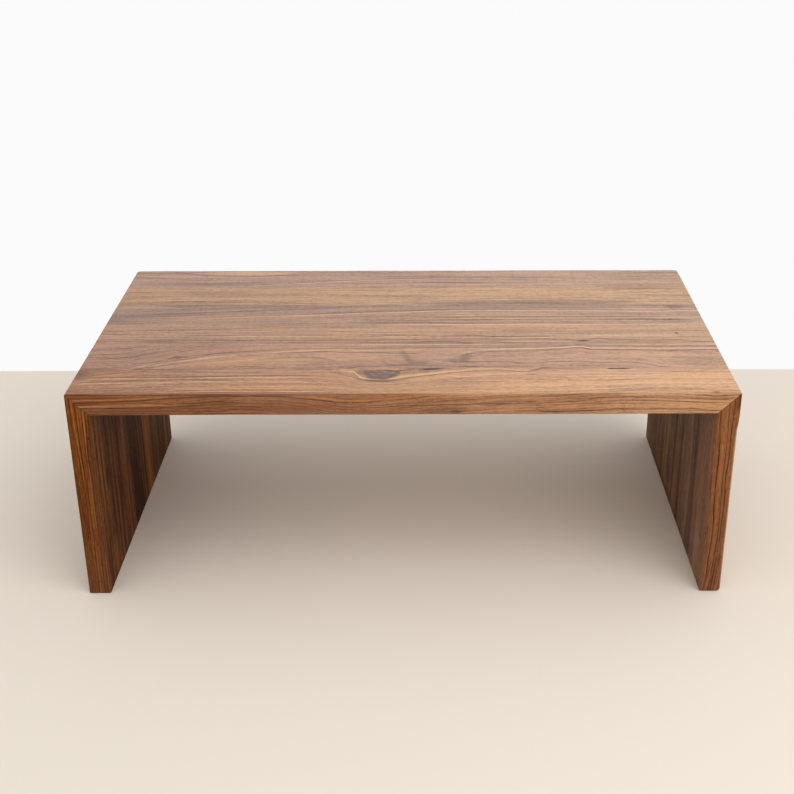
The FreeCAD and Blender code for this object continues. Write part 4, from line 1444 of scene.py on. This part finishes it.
MARKS_6 = (
    Smudge(LIGHT, -325, 17, 125, 14, 0.55),
    Smudge(GREY, -430, 85, 140, 13, 0.45),
    Smudge(GREY, 240, 47, 36, 8, 0.4),
    Smudge(GREY, 90, 76, 70, 12, 0.25),
    Smudge(GREY, 470, 90, 120, 14, 0.3),
    *PAINTED_FLOOR_SHADE,
    Stroke(DARK, 3.5, ((-500, 2), (-482, 7, 0.5), (-450, 18, 0.6), (-419, 28, 0.6), (-370, 33, 0.6),
        (-314, 35, 0.6), (-260, 29, 0.5), (-224, 21, 0.4), (-190, 12))),
    Stroke(DARK, 3.2, ((-558, 37, 0.4), (-540, 40, 0.4), (-480, 50, 0.4), (-420, 58, 0.35), (-380, 62))),
    Stroke(DARK, 3.2, ((-330, 88), (-300, 85, 0.3), (-200, 72, 0.4), (-100, 58, 0.4), (0, 50, 0.4),
        (150, 42, 0.35), (240, 44, 0.4), (330, 50, 0.35), (400, 55, 0.3), (450, 58))),
    Stroke(LIGHT, 3.8, ((-320, 93), (-300, 90, 0.4), (-200, 77, 0.5), (-100, 63, 0.6), (0, 55, 0.5),
        (150, 48, 0.4), (330, 56, 0.4), (400, 61, 0.3), (450, 64))),
    Stroke(DARK, 4, ((-80, 78), (-56, 77, 0.3), (40, 75, 0.3), (140, 76, 0.3), (170, 76))),
    Stroke(LIGHT, 12, ((870, 24, 0.25), (946, 24, 0.2)), INNER),
    Stroke(LIGHT, 8, ((860, 56, 0.22), (946, 56, 0.2)), INNER),
    Stroke(BLACK, 5, ((860, 70, 0.4), (946, 70, 0.4)), INNER),
    Stroke(DARK, 3.5, ((420, 2), (433, 6, 0.5), (480, 15, 0.5), (558, 20, 0.5))),
)
STRIP_6 = Walnut(
    strip=6,
    left=(167, 134, 117),
    right=(188, 154, 131),
    left_leg=(67, 39, 15),
    right_leg=(110, 82, 57),
    rear_edge=(142, 98, 68),
    figure=Figure(rings=0.3, streaks=0.5, veins=0.3),
    marks=MARKS_6,
)
STRIPS = (STRIP_1, STRIP_2, STRIP_3, STRIP_4, STRIP_5, STRIP_6)


# The shapes


@dataclass(frozen=True)
class Nick:
    """A small hollow that wear, a seam or a knot has left in a board's outer face."""

    along: float
    side: float
    half_length: float
    half_width: float
    depth: float

    def press(self, spots: np.ndarray) -> np.ndarray:
        """Push the points of a board in where the hollow lies.

        Args:
            spots: points as rows of along, across and deep.

        Returns:
            The points, with the hollow.
        """
        reach = ((spots[:, ALONG] - self.along) / self.half_length) ** 2
        reach = reach + ((spots[:, ACROSS] - self.side) / self.half_width) ** 2
        push = self.depth * np.clip(1 - reach, 0, 1) ** 1.5
        pressed = spots.copy()
        pressed[:, DEEP] += np.where(spots[:, DEEP] < NO_GAP, push, 0)
        return pressed


NICKS = {
    (Slab.TOP, 1): (
        Nick(369.0, 507.3, 19.0, 2.5, 1.5),
        Nick(-38.5, 530.0, 24.0, 15.0, 0.25),
    ),
    (Slab.TOP, 3): (Nick(496.0, 346.0, 3.5, 3.5, 0.6),),
    (Slab.TOP, 4): (Nick(496.0, 278.0, 3.5, 3.5, 0.5),),
    (Slab.TOP, 5): (Nick(-35.0, 124.0, 3.0, 3.0, 0.5),),
}
"""The hollows of each board that has any: an open seam, the knot, and pin knots."""


@dataclass(frozen=True)
class Wall:
    """A flat face: the axis that it stands across, its place on that axis, and the way inwards, 1 or -1."""

    axis: int
    place: float
    inward: int


def ease(spots: np.ndarray, first: Wall, second: Wall, radius: np.ndarray | float) -> np.ndarray:
    """Round the edge where two flat faces meet.

    Args:
        spots: the points, one to a row.
        first: one face.
        second: the other face.
        radius: how round the edge is, one value or one for each point.

    Returns:
        The points, with those near the edge moved on to the round.
    """
    rounded = spots.copy()
    gaps = [radius - (spots[:, wall.axis] - wall.place) * wall.inward for wall in (first, second)]
    near = (gaps[0] > 0) & (gaps[1] > 0)
    far = np.hypot(gaps[0], gaps[1])
    share = np.where(near, np.maximum(gaps[0], gaps[1]) / np.where(far > 0, far, 1), 1)
    for wall, gap in zip((first, second), gaps):
        moved = wall.place + wall.inward * (radius - gap * share)
        rounded[:, wall.axis] = np.where(near, moved, spots[:, wall.axis])
    return rounded


def skin(shape: tuple[int, int, int]) -> tuple[np.ndarray, list[tuple[int, ...]]]:
    """Make the outer skin of a block of points.

    Args:
        shape: how many points the block has each way.

    Returns:
        Which points of the block lie on the outside, and the four-sided faces between them.
    """
    outside = np.ones(shape, dtype=bool)
    outside[1:-1, 1:-1, 1:-1] = False
    numbers = np.full(shape, -1)
    numbers[outside] = np.arange(int(outside.sum()))
    faces: list[tuple[int, ...]] = []
    for axis in range(3):
        for end in (0, -1):
            sheet = np.take(numbers, end, axis=axis)
            quads = np.stack((sheet[:-1, :-1], sheet[1:, :-1], sheet[1:, 1:], sheet[:-1, 1:]), axis=-1)
            if (end == 0) != (axis == 1):
                quads = quads[..., ::-1]
            faces += [tuple(int(corner) for corner in quad) for quad in quads.reshape(-1, 4)]
    return outside, faces


def make_mesh(name: str, points: np.ndarray, faces: list[tuple[int, ...]]) -> Piece:
    """Make a smooth-shaded object with crisp corners.

    Args:
        name: the object's name.
        points: its points in metres, one to a row.
        faces: the corners of each face.

    Returns:
        The object, linked to the scene.
    """
    crisp = math.radians(32)
    mesh = bpy.data.meshes.new(name)
    mesh.from_pydata([tuple(float(part) for part in point) for point in points], [], faces)
    mesh.validate()
    mesh.shade_smooth()
    mesh.set_sharp_from_angle(angle=crisp)
    piece = bpy.data.objects.new(name, mesh)
    bpy.context.scene.collection.objects.link(piece)
    return piece


@dataclass(frozen=True)
class Easing:
    """How far the edges have been rounded by hand, in millimetres."""

    arris: float = 2.6
    corner: float = 3.4
    left_foot: float = 2.2
    right_foot: float = 4.2
    foot_inside: float = 0.7
    """How round a foot is inside, as a share of its outside."""
    unevenness: float = 0.22
    slow_wave: float = 61.0
    quick_wave: float = 23.0
    rear_upright: float = 9.6
    right_upright: float = 8.8
    right_head: float = 1.6
    head_end: float = 50.0
    head_fade: float = 14.0
    """How far under the top the crisp head of the front right arris ends, and how fast."""
    steps: int = 4
    small: float = 3.6
    widest: float = 9.8
    clear: float = 0.8

    def arris_at(self, along: np.ndarray) -> np.ndarray:
        """Return how round the long edges are at places along the grain."""
        drift = np.sin(along / self.slow_wave) * 0.6 + np.sin(along / self.quick_wave + 1.3) * 0.4
        return self.arris * (1 + self.unevenness * drift)

    def upright_at(self, side: int, is_front: bool, height: np.ndarray, table: float) -> np.ndarray:
        """Return how round an upright arris is at places up it.

        Args:
            side: -1 for the left end of the table, 1 for the right.
            is_front: whether it is the front arris.
            height: the places above the floor.
            table: the table's height.

        Returns:
            The rounds. The front right one was left crisp just under the mitre.
        """
        if not is_front:
            return np.full_like(height, self.rear_upright)
        if side < 0:
            return self.arris_at(height)
        share = np.clip((table - self.head_end - height) / self.head_fade, 0, 1)
        return self.right_head + (self.right_upright - self.right_head) * share

    def band(self, end: float, inward: int) -> list[float]:
        """Return rows of points that make an even round at an edge.

        Args:
            end: where the edge is.
            inward: 1 or -1, the way inwards.

        Returns:
            The places of the rows.
        """
        turns = [math.tan(math.radians(45) * step / self.steps) for step in range(self.steps + 1)]
        rows = [end + inward * radius * (1 - turn) for radius in (self.small, self.widest) for turn in turns]
        return [end + inward * (self.widest + self.clear), *rows]


TOP_SLOTS = {1: "walnut_golden", 2: "walnut_pink", 3: "walnut_golden", 4: "walnut_grey",
             5: "walnut_golden", 6: "walnut_grey"}
LEG_SLOT = "walnut_leg"
"""The record's finishes for the boards of the top, by strip, and for those of the legs."""


@dataclass(frozen=True)
class Board:
    """One board of the top or of a leg, cut to its mitre and with its edges eased by hand."""

    slab: Slab
    wood: Walnut
    sizes: TableSizes
    easing: Easing = Easing()
    nicks: tuple[Nick, ...] = ()
    spacing: float = 14.0
    """How far apart the mesh's plain rows are, in millimetres."""
    band_room: float = 2.5
    """How far plain rows keep from those of a rounded edge."""
    fine_rows: int = 9
    fine_room: float = 1.1
    """How far other rows keep from a hollow's middle, as a share of its half size."""
    end_room: float = 0.3
    least_gap: float = 0.05
    mitre_room: float = 12.0
    """How much further than the slab's thickness the rows lean towards a mitre."""

    @property
    def node(self) -> str:
        """Return the name of the board's node in the frame."""
        return f"{self.slab.value}_board_{self.wood.strip}"

    @property
    def slot(self) -> str:
        """Return the record's finish for the board."""
        return TOP_SLOTS[self.wood.strip] if self.slab is Slab.TOP else LEG_SLOT

    def _lines(self, low: float, high: float, bands: list[float],
               marks: list[tuple[float, float]]) -> np.ndarray:
        """Choose where the mesh has its rows.

        Args:
            low: the lowest place.
            high: the highest place.
            bands: the rows of the rounded edges.
            marks: middle and half size of each hollow that wants finer rows.

        Returns:
            The rows in order.
        """
        count = max(2, round((high - low) / self.spacing))
        rows = set(bands) | {low, high}
        plain = np.linspace(low, high, count + 1)[1:-1]
        rows |= {float(row) for row in plain if all(abs(row - band) > self.band_room for band in bands)}
        kept_rows = {*bands, low, high}
        for middle, half in marks:
            fine = np.linspace(middle - half, middle + half, self.fine_rows)
            rows = {row for row in rows if abs(row - middle) > half * self.fine_room or row in kept_rows}
            rows |= {float(row) for row in fine if low + self.end_room < row < high - self.end_room}
        ordered = sorted(rows)
        kept = [ordered[0]]
        kept += [row for row in ordered[1:] if row - kept[-1] > self.least_gap]
        return np.array(kept)

    def _stations(self) -> np.ndarray:
        """Choose the rows along the grain.

        Returns:
            The rows in order, without the sign of the left leg.
        """
        size = self.sizes
        low, high = -size.half_length, size.half_length
        if self.slab is not Slab.TOP:
            low, high = high, high + size.height
        bands = self.easing.band(low, 1) + self.easing.band(high, -1)
        return self._lines(low, high, bands, [(nick.along, nick.half_length) for nick in self.nicks])

    def _mitred(self, along: np.ndarray, deep: np.ndarray) -> np.ndarray:
        """Draw the rows near a mitre in or out, so that they end on it.

        Args:
            along: the points' places along the grain, without the sign of the left leg.
            deep: how deep the points lie.

        Returns:
            Their places along the grain once the mitre is cut.
        """
        size = self.sizes
        reach = size.thick + self.mitre_room
        if self.slab is Slab.TOP:
            start = size.half_length - reach
            over = np.maximum(np.abs(along) - start, 0)
            return np.sign(along) * (np.minimum(np.abs(along), start) + over * (reach - deep) / reach)
        end = size.half_length + reach
        short = np.maximum(end - along, 0)
        return np.maximum(along, end) - short * (reach - deep) / reach

    def _placed(self, spots: np.ndarray) -> np.ndarray:
        """Turn places in the board's frame into places on the table.

        Args:
            spots: points as rows of along, across and deep.

        Returns:
            Points as rows of x, y and z, in millimetres.
        """
        size = self.sizes
        along, across, deep = spots.T
        if self.slab is Slab.TOP:
            return np.column_stack((along, size.depth / 2 - across, size.height - deep))
        side = self.slab.side
        down = size.height - (np.abs(along) - size.half_length)
        return np.column_stack((side * (size.half_length - deep), size.depth / 2 - across, down))

    def _open_sides(self) -> list[Wall]:
        """Find the board's sides that are edges of the table.

        Returns:
            The front one, the rear one, or neither.
        """
        rear, front = self.sizes.board_span(self.wood.strip)
        sides = []
        if front > self.sizes.depth - NO_GAP:
            sides.append(Wall(ACROSS, front, -1))
        if rear < NO_GAP:
            sides.append(Wall(ACROSS, rear, 1))
        return sides

    def _ease_edges(self, spots: np.ndarray) -> np.ndarray:
        """Round the long edges of the board, and the foot of a leg.

        Args:
            spots: points as rows of along, across and deep.

        Returns:
            The points, with the rounds.
        """
        size, easing = self.sizes, self.easing
        outer, inner = Wall(DEEP, 0.0, 1), Wall(DEEP, size.thick, -1)
        arris = easing.arris_at(spots[:, ALONG])
        for side in self._open_sides():
            if self.slab is Slab.TOP:
                spots = ease(spots, side, outer, arris)
            spots = ease(spots, side, inner, arris)
        if self.slab is Slab.TOP:
            return spots
        way = self.slab.side
        foot = easing.left_foot if way < 0 else easing.right_foot
        sole = Wall(ALONG, way * (size.half_length + size.height), -way)
        spots = ease(spots, sole, outer, foot)
        spots = ease(spots, sole, inner, foot * easing.foot_inside)
        for side in self._open_sides():
            spots = ease(spots, sole, side, foot)
        return spots

    def _ease_ends(self, points: np.ndarray) -> np.ndarray:
        """Round the uprights and the corner over each mitre at the table's two ends.

        Args:
            points: points as rows of x, y and z, in millimetres.

        Returns:
            The points, with the rounds.
        """
        size, easing = self.sizes, self.easing
        for way in (-1, 1):
            end = Wall(X, way * size.half_length, -way)
            for side in self._open_sides():
                rounds = easing.upright_at(way, side.inward < 0, points[:, Z], size.height)
                edge = Wall(Y, side.inward * size.depth / 2, -side.inward)
                points = ease(points, end, edge, rounds)
            points = ease(points, end, Wall(Z, size.height, -1), easing.corner)
        return points

    def build(self) -> Piece:
        """Make the board.

        Returns:
            The finished piece.
        """
        size, easing = self.sizes, self.easing
        rear, front = size.board_span(self.wood.strip)
        row_bands = [row for side in self._open_sides() for row in easing.band(side.place, side.inward)]
        rows = self._lines(rear, front, row_bands, [(nick.side, nick.half_width) for nick in self.nicks])
        levels = self._lines(0.0, size.thick, easing.band(0.0, 1) + easing.band(size.thick, -1), [])
        stations = self._stations()
        outside, faces = skin((len(stations), len(rows), len(levels)))
        spots = np.stack(np.meshgrid(stations, rows, levels, indexing="ij"), axis=-1)[outside]
        spots[:, ALONG] = self._mitred(spots[:, ALONG], spots[:, DEEP])
        if self.slab is not Slab.TOP:
            spots[:, ALONG] *= self.slab.side
        for nick in self.nicks:
            spots = nick.press(spots)
        points = self._ease_ends(self._placed(self._ease_edges(spots)))
        piece = make_mesh(f"{self.node}_eased", points * MM, faces)
        piece.data.materials.append(self.wood.dress(self.slab, size))
        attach(piece, "root")
        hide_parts(self.node)
        return piece


@dataclass(frozen=True)
class Beech:
    """Bare compressed beech, with its short dark flecks."""

    colour: Colour = (206, 174, 134)
    fleck: Colour = (150, 104, 66)
    band_share: float = 0.25
    fleck_share: float = 0.5
    roughness: float = 0.62
    fleck_roughness: float = 0.1

    def dress(self) -> Material:
        """Make the material.

        Returns:
            The material, whose grain runs along the tenons of both mitres.
        """
        material, tree, shader = start_finish("compressed_beech")
        x, y, z = (part * (1 / MM) for part in read_place(tree))
        spot = Spot(x - z, y, x + z)
        flecks = spot.grain(Layer.BEECH_FLECKS).rise(0.55, 0.7)
        bands = spot.grain(Layer.BEECH_BANDS).rise(0.4, 0.7)
        tint = Tint(tree, self.colour).toward(self.fleck, bands * self.band_share)
        tint = tint.toward(self.fleck, flecks * self.fleck_share)
        tree.links.new(tint.source, shader.inputs["Base Color"])
        roughness = flecks * self.fleck_roughness + self.roughness
        tree.links.new(roughness.socket, shader.inputs["Roughness"])
        add_relief(shader, flecks, strength=0.3, distance=0.1)
        return material


@dataclass(frozen=True)
class Tenon:
    """A loose tenon of compressed beech, fluted for the glue, that lies across a mitre."""

    side: int
    strip: int
    thick: float = 8.0
    width: float = 22.0
    length: float = 40.0
    flute_gap: float = 2.4
    flute_depth: float = 0.35
    flute_steps: int = 4
    edge_steps: int = 8
    chamfer: float = 1.0
    chamfer_share: float = 0.6
    """How far the section draws in at an end, as a share of the chamfer's length."""

    @property
    def node(self) -> str:
        """Return the name of the tenon's node in the frame."""
        return f"{'left' if self.side < 0 else 'right'}_mitre_tenon_{self.strip}"

    def _outline(self) -> list[tuple[float, float]]:
        """Draw the section: flat sides with flutes, between two round edges.

        Returns:
            Its points, each across the width and the thickness.
        """
        radius = self.thick / 2
        reach = self.width / 2 - radius
        steps = self.flute_steps * round(2 * reach / self.flute_gap)
        line: list[tuple[float, float]] = []
        for way in (1, -1):
            for step in range(steps + 1):
                gone = 2 * reach * step / steps
                dip = self.flute_depth * (0.5 - 0.5 * math.cos(2 * math.pi * gone / self.flute_gap))
                line.append((way * (reach - gone), way * (radius - dip)))
            for step in range(1, self.edge_steps):
                turn = math.radians(90 + 180 * step / self.edge_steps)
                line.append((way * (-reach + radius * math.cos(turn)), way * radius * math.sin(turn)))
        return line

    def build(self, beech: Material) -> Piece:
        """Make the tenon.

        Args:
            beech: what it is made of.

        Returns:
            The finished piece.
        """
        low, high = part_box(self.node)
        middle = (low + high) / 2
        slope = math.sqrt(0.5)
        into = Vector((self.side * slope, 0.0, -slope))
        over = Vector((self.side * slope, 0.0, slope))
        outline = self._outline()
        half = self.length / 2
        flat = half - self.chamfer
        points: list[Vector] = []
        for run, drop in ((-half, self.chamfer), (-flat, 0.0), (0.0, 0.0), (flat, 0.0), (half, self.chamfer)):
            drawn = drop * self.chamfer_share
            for wide, thick in outline:
                place = Vector((0.0, wide * (1 - drawn / (self.width / 2)), 0.0))
                place += over * (thick * (1 - drawn / (self.thick / 2))) + into * run
                points.append(middle + place * MM)
        count = len(outline)
        rings = len(points) // count
        faces: list[tuple[int, ...]] = []
        for ring in range(rings - 1):
            for step in range(count):
                after = (step + 1) % count
                here, there = ring * count, (ring + 1) * count
                faces.append((here + step, here + after, there + after, there + step))
        faces.append(tuple(reversed(range(count))))
        faces.append(tuple(range((rings - 1) * count, rings * count)))
        piece = make_mesh(f"{self.node}_fluted", np.array([tuple(point) for point in points]), faces)
        piece.data.materials.append(beech)
        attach(piece, "root")
        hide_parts(self.node)
        return piece


@dataclass(frozen=True)
class Table:
    """The whole table: eighteen boards and the tenons across its mitres."""

    sizes: TableSizes

    def build(self) -> None:
        """Make every board and every tenon, and say so."""
        for slab in Slab:
            for wood in STRIPS:
                board = Board(slab, wood, self.sizes, nicks=NICKS.get((slab, wood.strip), ()))
                piece = board.build()
                LOG.info("%s: %d faces", piece.name, len(piece.data.polygons))
        beech = Beech().dress()
        for side in (-1, 1):
            for wood in STRIPS:
                piece = Tenon(side, wood.strip).build(beech)
                LOG.info("%s: %d faces", piece.name, len(piece.data.polygons))


# The studio

WHITE = (1.0, 1.0, 1.0, 1.0)


@dataclass(frozen=True)
class Viewpoint:
    """The camera, where the photograph's own camera stood."""

    place: Place = (36.92, -2237.46, 1282.68)
    """In millimetres."""
    pitch: float = 0.43618
    turn: float = 0.004943
    roll: float = -0.000679
    focal_pixels: float = 1294.498
    axis_pixel: float = 431.54
    image_pixels: float = 794.0
    sensor: float = 36.0
    reach: float = 100.0

    def build(self) -> Piece:
        """Make the camera and look through it.

        Returns:
            The camera.
        """
        camera = bpy.data.cameras.new("photo_camera")
        camera.sensor_fit = "HORIZONTAL"
        camera.sensor_width = self.sensor
        camera.lens = self.focal_pixels / self.image_pixels * self.sensor
        camera.shift_x = (self.image_pixels / 2 - self.axis_pixel) / self.image_pixels
        camera.dof.use_dof = False
        camera.clip_end = self.reach
        stand = bpy.data.objects.new("photo_camera", camera)
        aim = Matrix.Rotation(-self.turn, 4, "Z") @ Matrix.Rotation(math.pi / 2 - self.pitch, 4, "X")
        aim = aim @ Matrix.Rotation(self.roll, 4, "Z")
        stand.matrix_world = Matrix.Translation(Vector(self.place) * MM) @ aim
        bpy.context.scene.collection.objects.link(stand)
        bpy.context.scene.camera = stand
        return stand


@dataclass(frozen=True)
class Studio:
    """A plain pale floor that turns white behind the table, in a room full of even light."""

    floor: Colour = (226, 216, 203)
    backdrop: Colour = (238, 238, 238)
    floor_roughness: float = 0.75
    floor_gloss: float = 0.2
    back_line: float = 0.672
    line_width: float = 0.004
    """Where the floor turns white and how softly, in metres."""
    half_floor: float = 9.0
    sky: float = 0.96
    sky_lean: tuple[float, float] = (0.12, -0.38)
    """How much brighter the room is towards +X and +Y, as a share of its light."""
    white: float = 0.965
    lamp_power: float = 26.0
    lamp_size: float = 2.4
    lamp_place: Place = (1.3, -1.7, 2.5)
    lamp_aim: Place = (0.0, 0.0, 0.2)

    @staticmethod
    def _show(tree: Tree, plain: Node, white: Node, output: str,
              where: Number | None = None) -> None:
        """Show white to the camera, also in a gloss or through glass, and the plain look to other light.

        Args:
            tree: the node tree.
            plain: what other light meets.
            white: what the camera sees.
            output: the name of the tree's output node.
            where: 1 where the white is shown at all, or everywhere if this is left out.
        """
        path = tree.nodes.new("ShaderNodeLightPath")
        seen = Number(tree, path.outputs["Is Camera Ray"]) + Number(tree, path.outputs["Is Glossy Ray"])
        seen = (seen + Number(tree, path.outputs["Is Transmission Ray"])).limited()
        share = seen if where is None else seen * where
        mix = tree.nodes.new("ShaderNodeMixShader")
        tree.links.new(share.socket, mix.inputs["Fac"])
        tree.links.new(plain.outputs[0], mix.inputs[1])
        tree.links.new(white.outputs[0], mix.inputs[2])
        tree.links.new(mix.outputs[0], tree.nodes[output].inputs["Surface"])

    def _lay_floor(self) -> Piece:
        """Lay the floor.

        Returns:
            The floor.
        """
        reach = self.half_floor
        corners = ((-reach, -reach, 0.0), (reach, -reach, 0.0), (reach, reach, 0.0), (-reach, reach, 0.0))
        mesh = bpy.data.meshes.new("pale_floor")
        mesh.from_pydata(corners, [], [(0, 1, 2, 3)])
        floor = bpy.data.objects.new("pale_floor", mesh)
        bpy.context.scene.collection.objects.link(floor)
        material, tree, shader = start_finish("pale_floor")
        _, back, _ = read_place(tree)
        behind = back.rise(self.back_line - self.line_width, self.back_line + self.line_width)
        tint = Tint(tree, self.floor).toward(self.backdrop, behind)
        tree.links.new(tint.source, shader.inputs["Base Color"])
        shader.inputs["Roughness"].default_value = self.floor_roughness
        shader.inputs["Specular IOR Level"].default_value = self.floor_gloss
        white = tree.nodes.new("ShaderNodeEmission")
        white.inputs["Color"].default_value = WHITE
        white.inputs["Strength"].default_value = self.white
        self._show(tree, shader, white, "Material Output", behind)
        mesh.materials.append(material)
        return floor

    def _hang_lamp(self) -> Piece:
        """Hang one large soft lamp above, in front and to the right.

        Returns:
            The lamp.
        """
        light = bpy.data.lights.new("soft_lamp", "AREA")
        light.shape = "DISK"
        light.size = self.lamp_size
        light.energy = self.lamp_power
        lamp = bpy.data.objects.new("soft_lamp", light)
        place = Vector(self.lamp_place)
        aim = (Vector(self.lamp_aim) - place).to_track_quat("-Z", "Y")
        lamp.matrix_world = Matrix.Translation(place) @ aim.to_matrix().to_4x4()
        bpy.context.scene.collection.objects.link(lamp)
        return lamp

    def _light_room(self) -> bpy.types.World:
        """Fill the room with pale light, softly brighter from the front and right, and white where it shows.

        Returns:
            The room.
        """
        world = bpy.data.worlds.new("pale_room")
        world.use_nodes = True
        tree = world.node_tree
        seen = tree.nodes["Background"]
        seen.inputs["Color"].default_value = WHITE
        seen.inputs["Strength"].default_value = self.white
        fill = tree.nodes.new("ShaderNodeBackground")
        fill.inputs["Color"].default_value = WHITE
        right, back, _ = read_place(tree, "Generated")
        lean = right * (self.sky_lean[0] * self.sky) + back * (self.sky_lean[1] * self.sky)
        tree.links.new((lean + self.sky).socket, fill.inputs["Strength"])
        self._show(tree, fill, seen, "World Output")
        bpy.context.scene.world = world
        return world

    def build(self) -> None:
        """Lay the floor, hang the lamp and light the room, and say so."""
        for made in (self._lay_floor(), self._hang_lamp(), self._light_room()):
            LOG.info("studio: %s", made.name)


def main() -> None:
    """Load the frame, then set up the camera, the studio and the table."""
    logging.basicConfig(level=logging.INFO, format="%(message)s")
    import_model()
    bpy.context.scene.view_settings.view_transform = "Standard"
    LOG.info("camera: %s", Viewpoint().build().name)
    Studio().build()
    Table(TableSizes.from_frame(len(STRIPS))).build()


if __name__ == "__main__":
    main()
